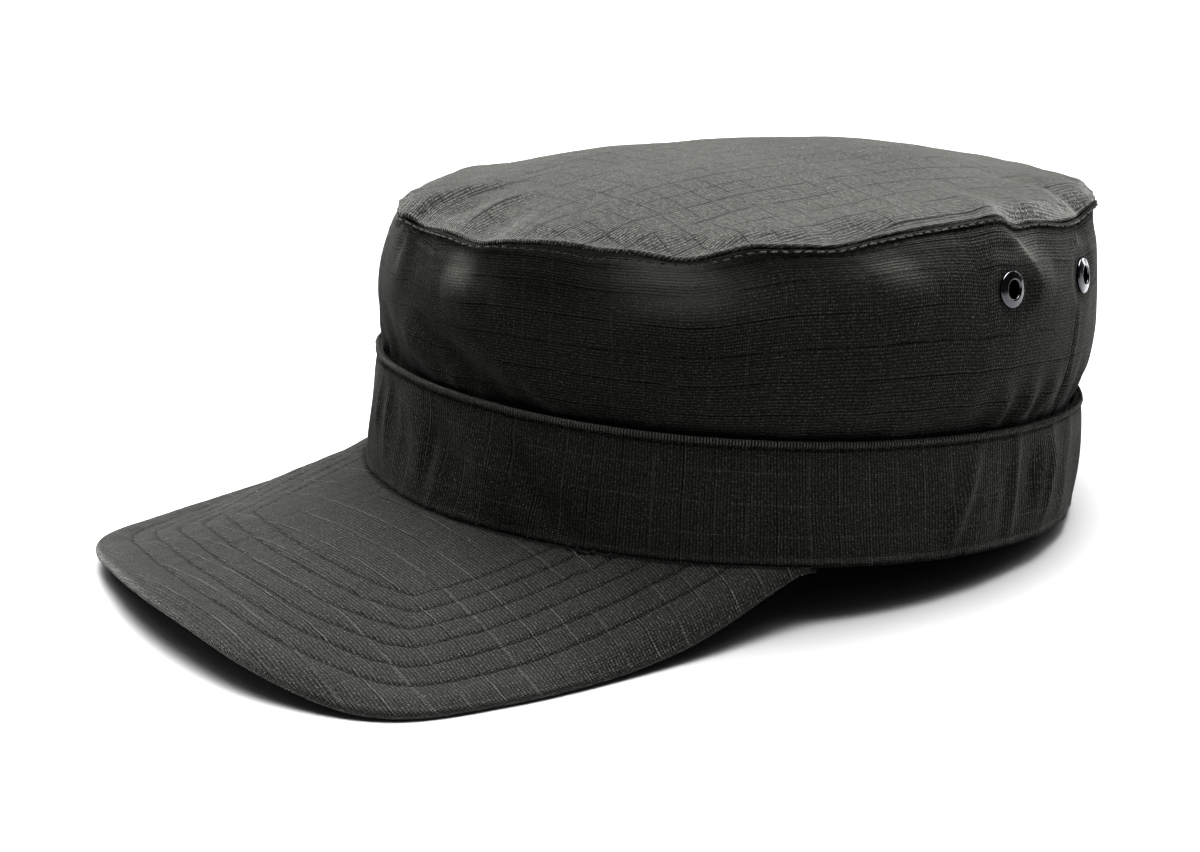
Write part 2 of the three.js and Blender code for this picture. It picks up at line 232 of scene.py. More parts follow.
@dataclass(frozen=True)
class Fold:
    """A fold that climbs a ring of cloth, its line moving round as it climbs."""

    angle: float
    lean: float
    start: float
    end: float
    width: float
    rise: float

    FULLNESS = 0.7

    def at(self, angle: Array, share: Array) -> Array:
        """How far the fold lifts the cloth."""
        along = np.clip((share - self.start) / (self.end - self.start), 0.0, 1.0)
        distance = turn_between(self.angle + self.lean * along, angle)
        return self.rise * bell(distance, self.width) * np.sin(np.pi * along) ** self.FULLNESS


@dataclass(frozen=True)
class Crease:
    """A crease along a straight line over the cloth, as texture coordinates in millimetres."""

    start: tuple[float, float]
    end: tuple[float, float]
    width: float
    rise: float

    END_SHARE = 0.25

    def at(self, across: Array, up: Array) -> Array:
        """How far the crease lifts the cloth, least at its ends."""
        run_x, run_y = self.end[0] - self.start[0], self.end[1] - self.start[1]
        along = ((across - self.start[0]) * run_x + (up - self.start[1]) * run_y) / (run_x**2 + run_y**2)
        held = np.clip(along, 0.0, 1.0)
        distance = np.hypot(across - self.start[0] - held * run_x, up - self.start[1] - held * run_y)
        swell = self.END_SHARE + (1 - self.END_SHARE) * np.sin(np.pi * held)
        return self.rise * bell(distance, self.width) * swell


@dataclass(frozen=True)
class Gather:
    """A stretch of small upright folds where the band takes the crown in."""

    start: float
    end: float
    count: float
    rise: float

    FULLNESS = 0.5

    def at(self, angle: Array, fade: Array) -> Array:
        """How far the gathers lift the cloth."""
        along = np.clip((angle - self.start) / (self.end - self.start), 0.0, 1.0)
        swell = np.sin(np.pi * along) ** self.FULLNESS
        return self.rise * fade * swell * np.sin(2 * np.pi * self.count * along)


@dataclass(frozen=True)
class SeamWave:
    """A place where the top seam stands out or dips."""

    angle: float
    width: float
    out: float
    up: float


CLOTH_THICKNESS = 1.4
SEWN_GAP = 0.3
STANCE_TILT = 6.25
FLOOR_PRESS = 0.8

HEM = Section(half_width=91.5, half_length=98.2, power=2, shift=0, front=0, rear=0, lean=0)
BAND_TOP = Section(half_width=87, half_length=96.3, power=2.13, shift=0.5, front=29.6, rear=27, lean=0)
TUCK = Section(half_width=85.2, half_length=94, power=2.1, shift=0.5, front=22, rear=20, lean=0)
THROAT = Section(half_width=84.7, half_length=94, power=2.13, shift=0.5, front=30.5, rear=28, lean=0)
SWELL = Section(half_width=87, half_length=96.8, power=2.12, shift=1, front=38, rear=36.5, lean=0.5)
WAIST = Section(half_width=87.6, half_length=99.2, power=2.05, shift=1.8, front=53, rear=55.5, lean=1.5)
CHEST = Section(half_width=86, half_length=99.4, power=2.05, shift=2, front=62.5, rear=67.5, lean=2.5)
SHOULDER = Section(half_width=82.6, half_length=98.2, power=2.2, shift=1, front=66, rear=73.6, lean=3.6)
SEAM = Section(half_width=77.8, half_length=96.6, power=2.6, shift=0, front=68, rear=77, lean=4.6)

BAND_FOLDS = (
    Fold(angle=12, lean=-12, start=0.05, end=0.9, width=4, rise=-1.3),
    Fold(angle=21, lean=-13, start=0, end=0.85, width=4, rise=0.8),
    Fold(angle=31, lean=-14, start=0, end=0.8, width=4.5, rise=-1),
    Fold(angle=-4, lean=-10, start=0.1, end=1, width=3.5, rise=-1),
    Fold(angle=-24, lean=5, start=0, end=1, width=3, rise=0.8),
    Fold(angle=93, lean=7, start=0, end=1, width=2.5, rise=1.1),
    Fold(angle=106, lean=5, start=0, end=1, width=3, rise=1.2),
    Fold(angle=117, lean=4, start=0, end=1, width=2.2, rise=1.1),
    Fold(angle=129, lean=3, start=0, end=1, width=3, rise=0.9),
    Fold(angle=-58, lean=6, start=0, end=0.9, width=5, rise=-0.9),
    Fold(angle=-97, lean=-6, start=0, end=1, width=3, rise=1),
    Fold(angle=-112, lean=-4, start=0, end=1, width=2.6, rise=1.1),
    Fold(angle=-126, lean=-3, start=0, end=1, width=3, rise=0.9),
)
CROWN_FOLDS = (
    Fold(angle=17, lean=-20, start=0.12, end=0.55, width=5, rise=-1.8),
    Fold(angle=29, lean=-20, start=0.12, end=0.5, width=4.5, rise=1.2),
    Fold(angle=5, lean=-18, start=0.12, end=0.5, width=4, rise=1.2),
    Fold(angle=-12, lean=-8, start=0.12, end=0.5, width=3.5, rise=-1.2),
    Fold(angle=107, lean=-9, start=0.72, end=1.15, width=4, rise=-1.4),
    Fold(angle=-50, lean=10, start=0.12, end=0.55, width=5, rise=-1.4),
    Fold(angle=-108, lean=8, start=0.75, end=1.15, width=4, rise=-1.2),
    Fold(angle=176, lean=0, start=0.1, end=0.6, width=5, rise=-1.2),
)
GATHERS = (
    Gather(start=88, end=138, count=7, rise=1.1),
    Gather(start=-138, end=-90, count=6, rise=1),
    Gather(start=-34, end=-14, count=3, rise=0.8),
)
GATHER_TOP = 0.42
SEAM_WAVES = (
    SeamWave(angle=-36, width=28, out=-7.8, up=0),
    SeamWave(angle=144, width=28, out=-4, up=0),
    SeamWave(angle=-26, width=5, out=0.2, up=2.2),
    SeamWave(angle=7, width=5, out=0, up=-1.2),
    SeamWave(angle=24, width=8, out=0, up=0.8),
    SeamWave(angle=48, width=7, out=0.4, up=-2),
    SeamWave(angle=90, width=10, out=0, up=1.8),
    SeamWave(angle=112, width=9, out=0, up=-2),
    SeamWave(angle=126, width=5, out=1.2, up=1.2),
    SeamWave(angle=166, width=12, out=0, up=-1.4),
    SeamWave(angle=-150, width=7, out=1.2, up=1.4),
    SeamWave(angle=-104, width=14, out=0, up=-1.6),
    SeamWave(angle=-70, width=9, out=0, up=1),
    SeamWave(angle=-14, width=2.6, out=-5.4, up=-4.2),
    SeamWave(angle=-8.2, width=2.2, out=2.6, up=1.8),
    SeamWave(angle=94, width=2.2, out=0.9, up=1.2),
    SeamWave(angle=99, width=3, out=-0.6, up=-1.3),
    SeamWave(angle=119, width=2.4, out=-1.2, up=-1.3),
    SeamWave(angle=-117, width=2.4, out=-1.2, up=-1.3),
    SeamWave(angle=60, width=4, out=0, up=0.6),
    SeamWave(angle=73, width=4, out=0.3, up=-0.7),
)


class Stance:
    """How the cap stands: leaned back, with its hem and visor pressed on the floor."""

    def __init__(self) -> None:
        """Works out the lean, the floor in the cap's own frame and the shift to the part's frame."""
        tilt = math.radians(-STANCE_TILT)
        self.turn = np.array(Matrix.Rotation(tilt, 3, "X"))
        self.floor_normal = np.array([0.0, math.sin(tilt), math.cos(tilt)])
        lowest = HEM.point(np.array(180.0)) + FLOOR_PRESS * self.floor_normal
        self.floor_reach = float(lowest @ self.floor_normal)
        band_low, band_high = (np.array(corner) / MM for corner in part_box("band"))
        front = HEM.point(np.array(0.0)) @ self.turn.T
        self.shift = np.array([
            (band_low[0] + band_high[0]) / 2,
            band_low[1] - front[1],
            -float((lowest @ self.turn.T)[2]),
        ])

    def settle(self, points: Array) -> Array:
        """Lays points that would reach through the floor on it."""
        height = points @ self.floor_normal - self.floor_reach
        return points - np.minimum(height, 0.0)[..., None] * self.floor_normal

    def floor_height(self, y: Array) -> Array:
        """The floor's height in the cap's own frame."""
        return (self.floor_reach - self.floor_normal[1] * y) / self.floor_normal[2]

    def to_part(self, points: Array) -> Array:
        """Turns settled points of the cap's own frame into the part's metres."""
        return (self.settle(points) @ self.turn.T + self.shift) * MM

    def from_part(self, points: Array) -> Array:
        """Turns the part's metres into the cap's own frame."""
        return (np.asarray(points) / MM - self.shift) @ self.turn


STANCE = Stance()


class MeshBuilder:
    """Collects quads with texture coordinates and a map of painted light, painted shade and rubbing, and
    makes one mesh object of them.
    """

    def __init__(self, name: str) -> None:
        """Starts an empty mesh.

        Args:
            name: The piece's name.
        """
        self.name = name
        self.points: list[Array] = []
        self.faces: list[Array] = []
        self.coordinates: list[Array] = []
        self.wear_and_painted_light: list[Array] = []
        self.count = 0

    def add_points(self, points: Array, wear_and_painted_light: Array | None = None) -> Array:
        """Adds points.

        Args:
            points: Any shape by 3, in the cap's own frame.
            wear_and_painted_light: That shape, from 0 to 1, or nothing where the cloth has no painted light,
                painted shade or rubbing.

        Returns:
            The points' numbers, in that shape.
        """
        shape = points.shape[:-1]
        index = self.count + np.arange(math.prod(shape)).reshape(shape)
        self.points.append(points.reshape(-1, 3))
        self.wear_and_painted_light.append(np.zeros(index.size) if wear_and_painted_light is None else wear_and_painted_light.reshape(-1))
        self.count += index.size
        return index

    def add_quads(self, quads: Array, corners: Array | None = None) -> None:
        """Adds quads.

        Args:
            quads: Any shape by 4 point numbers.
            corners: That shape by 4 by 2 texture coordinates, or nothing for plain thread and hidden edges.
        """
        quads = quads.reshape(-1, 4)
        corners = np.zeros((len(quads), 4, 2)) if corners is None else corners.reshape(-1, 4, 2)
        self.faces.append(quads)
        self.coordinates.append(corners)

    def grid(self, points: Array, coordinates: Array, wear_and_painted_light: Array | None = None, closed: bool = False,
             flip: bool = False, keep: Array | None = None) -> Array:
        """Adds a grid of quads.

        Args:
            points: Rows by columns by 3, in the cap's own frame. A closed grid leaves out the column
                that comes back to its start.
            coordinates: Rows by columns by 2 in millimetres, with that column where the grid is closed.
            wear_and_painted_light: Rows by columns, from 0 to 1: painted light, painted shade and rubbing.
            closed: Whether the last column joins the first.
            flip: Whether the quads face the other way.
            keep: Quads to keep, as true and false.

        Returns:
            The grid's point numbers.
        """
        index = self.add_points(points, wear_and_painted_light)
        quads = self.corners(np.concatenate([index, index[:, :1]], 1) if closed else index)
        corners = self.corners(coordinates)
        if keep is not None:
            quads, corners = quads[keep], corners[keep]
        if flip:
            quads, corners = quads[..., ::-1], corners[..., ::-1, :]
        self.add_quads(quads, corners)
        return index

    @staticmethod
    def corners(grid: Array) -> Array:
        """The four corners of each quad of a grid."""
        return np.stack([grid[:-1, :-1], grid[:-1, 1:], grid[1:, 1:], grid[1:, :-1]], 2)

    def bridge(self, first: Array, second: Array) -> None:
        """Adds quads between two runs of points, given as their numbers in the same order."""
        self.add_quads(np.stack([first[:-1], first[1:], second[1:], second[:-1]], -1))

    def build(self, finish: bpy.types.Material) -> bpy.types.Object:
        """Makes the object.

        Args:
            finish: The piece's material.

        Returns:
            The new object, linked to the scene.
        """
        points = STANCE.to_part(np.concatenate(self.points))
        quads = np.concatenate(self.faces)
        corners = np.concatenate(self.coordinates) * MM
        mesh = bpy.data.meshes.new(self.name)
        mesh.from_pydata(points.tolist(), [], quads.tolist())
        layer = mesh.uv_layers.new(name="cloth")
        layer.data.foreach_set("uv", corners.reshape(-1))
        attribute = mesh.attributes.new("wear_and_painted_light", "FLOAT", "POINT")
        attribute.data.foreach_set("value", np.concatenate(self.wear_and_painted_light))
        mesh.polygons.foreach_set("use_smooth", [True] * len(mesh.polygons))
        mesh.materials.append(finish)
        mesh.validate()
        mesh.update()
        piece = bpy.data.objects.new(self.name, mesh)
        bpy.context.scene.collection.objects.link(piece)
        return piece


class Value:
    """A number that varies over a surface: a shader socket that takes part in arithmetic."""

    def __init__(self, graph: "ShaderGraph", socket: bpy.types.NodeSocket) -> None:
        """Wraps a socket.

        Args:
            graph: The material's graph.
            socket: The output socket.
        """
        self.graph = graph
        self.socket = socket

    def _math(self, operation: str, *values: "Value | float") -> "Value":
        """The result of one Math node."""
        return self.graph.value("ShaderNodeMath", {"operation": operation}, dict(enumerate(values)))

    def __add__(self, other: "Value | float") -> "Value":
        """This plus other."""
        return self._math("ADD", self, other)

    def __radd__(self, other: float) -> "Value":
        """Other plus this."""
        return self._math("ADD", other, self)

    def __sub__(self, other: "Value | float") -> "Value":
        """This minus other."""
        return self._math("SUBTRACT", self, other)

    def __rsub__(self, other: float) -> "Value":
        """Other minus this."""
        return self._math("SUBTRACT", other, self)

    def __mul__(self, other: "Value | float") -> "Value":
        """This times other."""
        return self._math("MULTIPLY", self, other)

    def __rmul__(self, other: float) -> "Value":
        """Other times this."""
        return self._math("MULTIPLY", other, self)

    def sine(self) -> "Value":
        """The sine."""
        return self._math("SINE", self)

    def wave(self, pitch: float, shift: "Value") -> "Value":
        """A wave from 0 to 1 along the number, shifted by an angle in radians."""
        return (self * (2 * math.pi / pitch) + shift).sine() * 0.5 + 0.5

    def line(self, pitch: float, edge: float, core: float) -> "Value":
        """Lines at every multiple of a pitch: 1 nearer to one than core, and 0 past its edge."""
        return self._math("PINGPONG", self, pitch / 2).mapped(edge, core)

    def between(self, low: float, high: float) -> "Value":
        """A number from 0 to 1 taken evenly to another range."""
        return self * (high - low) + low

    def mapped(self, low: float, high: float, to_low: float = 0.0, to_high: float = 1.0) -> "Value":
        """The number taken smoothly from one range to another."""
        return self.graph.value(
            "ShaderNodeMapRange",
            {"interpolation_type": "SMOOTHSTEP"},
            {"Value": self, "From Min": low, "From Max": high, "To Min": to_low, "To Max": to_high},
        )


class ShaderGraph:
    """A material's nodes."""

    def __init__(self, name: str) -> None:
        """Makes a material with a Principled shader and an output.

        Args:
            name: The material's name.
        """
        self.material = bpy.data.materials.new(name)
        self.material.use_nodes = True
        self.tree = self.material.node_tree
        self.tree.nodes.clear()
        output = self.node("ShaderNodeOutputMaterial", {}, {})
        self.shader = self.node("ShaderNodeBsdfPrincipled", {}, {})
        self.tree.links.new(self.shader.outputs[0], output.inputs["Surface"])

    def node(self, kind: str, settings: dict[str, object], inputs: dict[object, object]) -> bpy.types.Node:
        """Adds a node.

        Args:
            kind: The node's type.
            settings: Properties, set before the sockets.
            inputs: Socket names or numbers, with a Value, a socket or a plain value.

        Returns:
            The new node.
        """
        node = self.tree.nodes.new(kind)
        for key, setting in settings.items():
            setattr(node, key, setting)
        for key, given in inputs.items():
            self.feed(node.inputs[key], given)
        return node

    def feed(self, socket: bpy.types.NodeSocket, given: object) -> None:
        """Links a socket, or sets its value."""
        if isinstance(given, Value):
            self.tree.links.new(given.socket, socket)
        elif isinstance(given, bpy.types.NodeSocket):
            self.tree.links.new(given, socket)
        else:
            socket.default_value = given

    def value(self, kind: str, settings: dict[str, object], inputs: dict[object, object],
              output: str | int = 0) -> Value:
        """Adds a node and wraps one of its outputs."""
        return Value(self, self.node(kind, settings, inputs).outputs[output])

    def mix(self, factor: Value, low: object, high: object) -> bpy.types.NodeSocket:
        """A mix of two colours. The Mix node's colour sockets go by number: 6 and 7 in, 2 out."""
        inputs = {"Factor": factor, 6: low, 7: high}
        return self.node("ShaderNodeMix", {"data_type": "RGBA"}, inputs).outputs[2]

    def vector(self, x: Value, y: Value) -> bpy.types.NodeSocket:
        """A vector of two numbers."""
        return self.node("ShaderNodeCombineXYZ", {}, {0: x, 1: y}).outputs[0]

    def noise(self, vector: bpy.types.NodeSocket, scale: float, detail: float) -> Value:
        """Noise over a vector, from 0 to 1."""
        return self.value(
            "ShaderNodeTexNoise", {}, {"Vector": vector, "Scale": scale, "Detail": detail}, output="Fac"
        )

    def bump(self, height: Value, distance: float, strength: float = 1.0) -> bpy.types.NodeSocket:
        """A normal that follows a height, at so many metres for a height of 1."""
        inputs = {"Height": height, "Strength": strength, "Distance": distance}
        return self.node("ShaderNodeBump", {}, inputs).outputs[0]

    def set(self, **sockets: object) -> None:
        """Feeds the Principled shader's sockets, named with underscores for spaces."""
        for key, given in sockets.items():
            self.feed(self.shader.inputs[key.replace("_", " ")], given)


@dataclass(frozen=True)
class Speckle:
    """Noise with a soft threshold: its scale and detail, and what it takes to 0 and to 1."""

    scale: float
    detail: float
    low: float
    high: float

    def over(self, graph: ShaderGraph, vector: bpy.types.NodeSocket) -> Value:
        """The speckle over a vector, from 0 to 1."""
        return graph.noise(vector, self.scale, self.detail).mapped(self.low, self.high)


@dataclass(frozen=True)
class RipstopCloth:
    """Black ripstop poplin: fine ribs, a raised thread every few millimetres, heathered and dusty.

    Places on the cloth are in millimetres, along its ribs and across them. The fields say how strongly
    the cloth shows its raised threads, sunk threads, lint, nap and speckle. `relief` is the height of
    its weave in millimetres.
    """

    name: str
    grain: Grain = Grain.ACROSS
    thread: float = 0.35
    cross_thread: float = 0.25
    sunk: float = 0.25
    sunk_cross: float = 0.25
    lint: float = 0.5
    nap: float = 0.35
    # Painted light: copies of this one black cloth differ in this lightness, the top lighter for the
    # overhead light and the walls darker for their shade.
    painted_light_tone: float = 1.0
    gloss: float = 0.25
    speckle: float = 0.3
    relief: float = 0.26
    rib_pitch: float = 0.8
    pick_pitch: float = 0.56
    square_pitch: float = 7.7

    DEEP = (0.0055, 0.0055, 0.005, 1.0)
    BRIGHT = (0.2, 0.2, 0.183, 1.0)
    DUST = (0.42, 0.42, 0.41, 1.0)
    SHEEN = (0.93, 0.94, 0.9, 1.0)

    DRIFT_SCALE = 0.06
    DRIFT_REACH = (1.1, 1.1, 0.0)
    SPUN = (1.2, 2.6)
    LONG_SPUN = (0.05, 1.3)
    SLUB_SCALE = 0.25
    RIB_SLUB = 1.3
    PICK_SLUB = 4.0
    HEATHER = Speckle(scale=1.0, detail=3.0, low=0.36, high=0.64)
    MOTTLE = Speckle(scale=0.8, detail=4.0, low=0.36, high=0.64)
    GRIT = Speckle(scale=2.1, detail=2.0, low=0.42, high=0.7)
    STREAK = Speckle(scale=1.0, detail=2.0, low=0.35, high=0.7)
    PATCHES = Speckle(scale=0.075, detail=3.0, low=0.4, high=0.6)
    SUNK_PATCHES = Speckle(scale=0.07, detail=3.0, low=0.34, high=0.6)
    CLOUD = Speckle(scale=0.022, detail=4.0, low=0.3, high=0.7)
    LINT_PATCHES = Speckle(scale=0.9, detail=1.0, low=0.52, high=0.62)
    LINT_SCALE = 0.2
    LINT_SIZE = (0.05, 0.02)

    RAISED_EDGE = (0.27, 0.06)
    SUNK_RIB_EDGE = (0.26, 0.06)
    SUNK_PICK_EDGE = (0.26, 0.08)
    SUNK_RIB_SHIFT = 0.35
    SUNK_PICK_SHIFT = 3.0
    PAINTED_LIGHT_AND_WEAR_GAIN = 0.4

    def material(self) -> bpy.types.Material:
        """Builds the material.

        Returns:
            The finished material.
        """
        graph = ShaderGraph(self.name)
        place = graph.node("ShaderNodeUVMap", {"uv_map": "cloth"}, {}).outputs[0]
        place = graph.node("ShaderNodeMapping", {}, {"Vector": place, "Scale": (1 / MM,) * 3}).outputs[0]
        along, across = self.directions(graph, place)
        spun = graph.vector(along * self.SPUN[0], across * self.SPUN[1])
        slub = graph.noise(spun, self.SLUB_SCALE, 2.0)
        rib = across.wave(self.rib_pitch, slub * self.RIB_SLUB)
        pick = along.wave(self.pick_pitch, slub * self.PICK_SLUB)
        heather = self.HEATHER.over(graph, spun)
        mottle = self.MOTTLE.over(graph, place).between(1 - self.speckle / 2, 1 + self.speckle / 2)
        grit = self.GRIT.over(graph, place)
        squares = self.raised_threads(graph, place, along, across, rib, pick)
        sunk = self.sunk_threads(graph, place, along, across, rib, pick)
        weave = heather.between(0.35, 0.85) * rib.between(0.25, 1.0) * pick.between(0.55, 1.0)
        weave = weave * grit.between(0.4, 1.5) * mottle
        streak = self.STREAK.over(graph, graph.vector(along * self.LONG_SPUN[0], across * self.LONG_SPUN[1]))
        cloud = self.CLOUD.over(graph, place)
        # The mesh's map lightens and darkens the base colour: painted highlights on edges and bulges,
        # painted shade in grooves and joints, and some real rubbing on edges.
        painted_light_and_wear_map = graph.value("ShaderNodeAttribute", {"attribute_name": "wear_and_painted_light"}, {}, output="Fac")
        light = (weave * 0.85 + streak * 0.04 + cloud * 0.05 - sunk * self.sunk) * self.painted_light_tone
        light = light + squares + painted_light_and_wear_map * self.PAINTED_LIGHT_AND_WEAR_GAIN
        base = graph.mix(light, self.DEEP, self.BRIGHT)
        base = graph.mix(self.lint_specks(graph, place) * self.lint, base, self.DUST)
        height = rib * 0.45 + pick * 0.3 + heather * 0.2 + grit * 0.35 + mottle * 0.3
        height = height + squares * 0.7 - sunk * 0.6
        graph.set(
            Base_Color=base,
            Roughness=heather.mapped(0.0, 1.0, 0.7, 0.9),
            Normal=graph.bump(height, self.relief * MM),
            Specular_IOR_Level=self.gloss,
            Sheen_Weight=self.nap,
            Sheen_Roughness=0.28,
            Sheen_Tint=self.SHEEN,
        )
        return graph.material

    def directions(self, graph: ShaderGraph, place: bpy.types.NodeSocket) -> tuple[Value, Value]:
        """Places along the ribs and across them, drifting a little as woven threads do.

        Args:
            graph: The material's graph.
            place: Places on the cloth.

        Returns:
            Along the ribs, and across them.
        """
        drift = graph.node(
            "ShaderNodeTexNoise", {}, {"Vector": place, "Scale": self.DRIFT_SCALE, "Detail": 2.0}
        )
        drifted = graph.node(
            "ShaderNodeVectorMath",
            {"operation": "MULTIPLY_ADD"},
            {0: drift.outputs["Color"], 1: self.DRIFT_REACH, 2: place},
        )
        split = graph.node("ShaderNodeSeparateXYZ", {}, {"Vector": drifted.outputs[0]})
        first, second = Value(graph, split.outputs[0]), Value(graph, split.outputs[1])
        return (second, first) if self.grain is Grain.UPWARDS else (first, second)

    def raised_threads(self, graph: ShaderGraph, place: bpy.types.NodeSocket, along: Value, across: Value,
                       rib: Value, pick: Value) -> Value:
        """The light threads of the ripstop's squares, which come and go in patches."""
        patches = self.PATCHES.over(graph, place)
        strong = across.line(self.square_pitch, *self.RAISED_EDGE) * patches.between(0.1, 1.0)
        strong = strong * pick.between(0.4, 1.0)
        crossing = along.line(self.square_pitch, *self.RAISED_EDGE) * patches.between(1.0, 0.3)
        return strong * self.thread + crossing * rib.between(0.3, 1.0) * self.cross_thread

    def sunk_threads(self, graph: ShaderGraph, place: bpy.types.NodeSocket, along: Value, across: Value,
                     rib: Value, pick: Value) -> Value:
        """The dark lines beside the ripstop's threads."""
        patches = self.SUNK_PATCHES.over(graph, place)
        sunk_rib = (across + self.SUNK_RIB_SHIFT).line(self.square_pitch, *self.SUNK_RIB_EDGE) * patches
        sunk_pick = (along + self.SUNK_PICK_SHIFT).line(self.square_pitch, *self.SUNK_PICK_EDGE)
        sunk_pick = sunk_pick * patches.between(1.0, 0.3) * rib * self.sunk_cross
        return sunk_rib * pick.between(0.5, 1.0) + sunk_pick

    def lint_specks(self, graph: ShaderGraph, place: bpy.types.NodeSocket) -> Value:
        """Specks of dust and lint."""
        specks = graph.value(
            "ShaderNodeTexVoronoi", {"feature": "F1"}, {"Vector": place, "Scale": self.LINT_SCALE},
            output="Distance",
        )
        return specks.mapped(*self.LINT_SIZE) * self.LINT_PATCHES.over(graph, place)


@dataclass(frozen=True)
class SewingThread:
    """Matt black sewing thread with lighter fibres mixed in by noise; on the crown seam the lighter fibres
    are a painted highlight.
    """

    name: str = "sewing_thread"
    light: float = 0.06

    DARK = (0.004, 0.004, 0.004, 1.0)
    FIBRE_SCALE = 2600.0
    FIBRE_RELIEF = 0.08

    def material(self) -> bpy.types.Material:
        """Builds the material.

        Returns:
            The finished material.
        """
        graph = ShaderGraph(self.name)
        place = graph.node("ShaderNodeTexCoord", {}, {}).outputs["Object"]
        fibre = graph.noise(place, self.FIBRE_SCALE, 3.0)
        # The lighter fibres' colour; on the crown seam it is a painted highlight.
        proud = (self.light, self.light, self.light * 0.95, 1.0)
        graph.set(
            Base_Color=graph.mix(fibre.mapped(0.3, 0.75), self.DARK, proud),
            Roughness=0.7,
            Normal=graph.bump(fibre, self.FIBRE_RELIEF * MM, 0.5),
            Specular_IOR_Level=0.3,
            Sheen_Weight=0.08,
            Sheen_Roughness=0.4,
        )
        return graph.material


@dataclass(frozen=True)
class BlackNickel:
    """Polished black plating with faint handling marks."""

    name: str = "black_nickel"

    PLATING = (0.1, 0.101, 0.11, 1.0)
    RUBBED = (0.17, 0.17, 0.178, 1.0)
    SCUFFS = Speckle(scale=300.0, detail=2.0, low=0.55, high=0.75)
    MARK_SCALE = 900.0
    MARK_RELIEF = 0.1

    def material(self) -> bpy.types.Material:
        """Builds the material.

        Returns:
            The finished material.
        """
        graph = ShaderGraph(self.name)
        place = graph.node("ShaderNodeTexCoord", {}, {}).outputs["Object"]
        marks = graph.noise(place, self.MARK_SCALE, 5.0)
        graph.set(
            Base_Color=graph.mix(self.SCUFFS.over(graph, place) * 0.5, self.PLATING, self.RUBBED),
            Metallic=1.0,
            Roughness=marks.mapped(0.2, 0.8, 0.1, 0.22),
            Normal=graph.bump(marks, self.MARK_RELIEF * MM, 0.08),
            Coat_Weight=0.3,
            Coat_Roughness=0.06,
        )
        return graph.material


def catmull_rom(knots: Array, per_span: int) -> Array:
    """Samples centripetal curves through knots.

    Args:
        knots: Curves by knots by 3.
        per_span: Samples between two knots.

    Returns:
        Curves by samples by 3.
    """
    before = 2 * knots[:, :1] - knots[:, 1:2]
    after = 2 * knots[:, -1:] - knots[:, -2:-1]
    padded = np.concatenate([before, knots, after], 1)
    p0, p1, p2, p3 = (padded[:, i : i + knots.shape[1] - 1, None] for i in range(4))
    d0, d1, d2 = (
        np.maximum(np.linalg.norm(b - a, axis=-1, keepdims=True) ** 0.5, 1e-2)
        for a, b in ((p0, p1), (p1, p2), (p2, p3))
    )
    leave = ((p1 - p0) / d0 - (p2 - p0) / (d0 + d1) + (p2 - p1) / d1) * d1
    arrive = ((p2 - p1) / d1 - (p3 - p1) / (d1 + d2) + (p3 - p2) / d2) * d1
    t = np.linspace(0.0, 1.0, per_span, endpoint=False)[:, None]
    shape = (2 * t**3 - 3 * t**2 + 1) * p1 + (t**3 - 2 * t**2 + t) * leave
    shape = shape + (3 * t**2 - 2 * t**3) * p2 + (t**3 - t**2) * arrive
    return np.concatenate([shape.reshape(len(knots), -1, 3), knots[:, -1:]], 1)


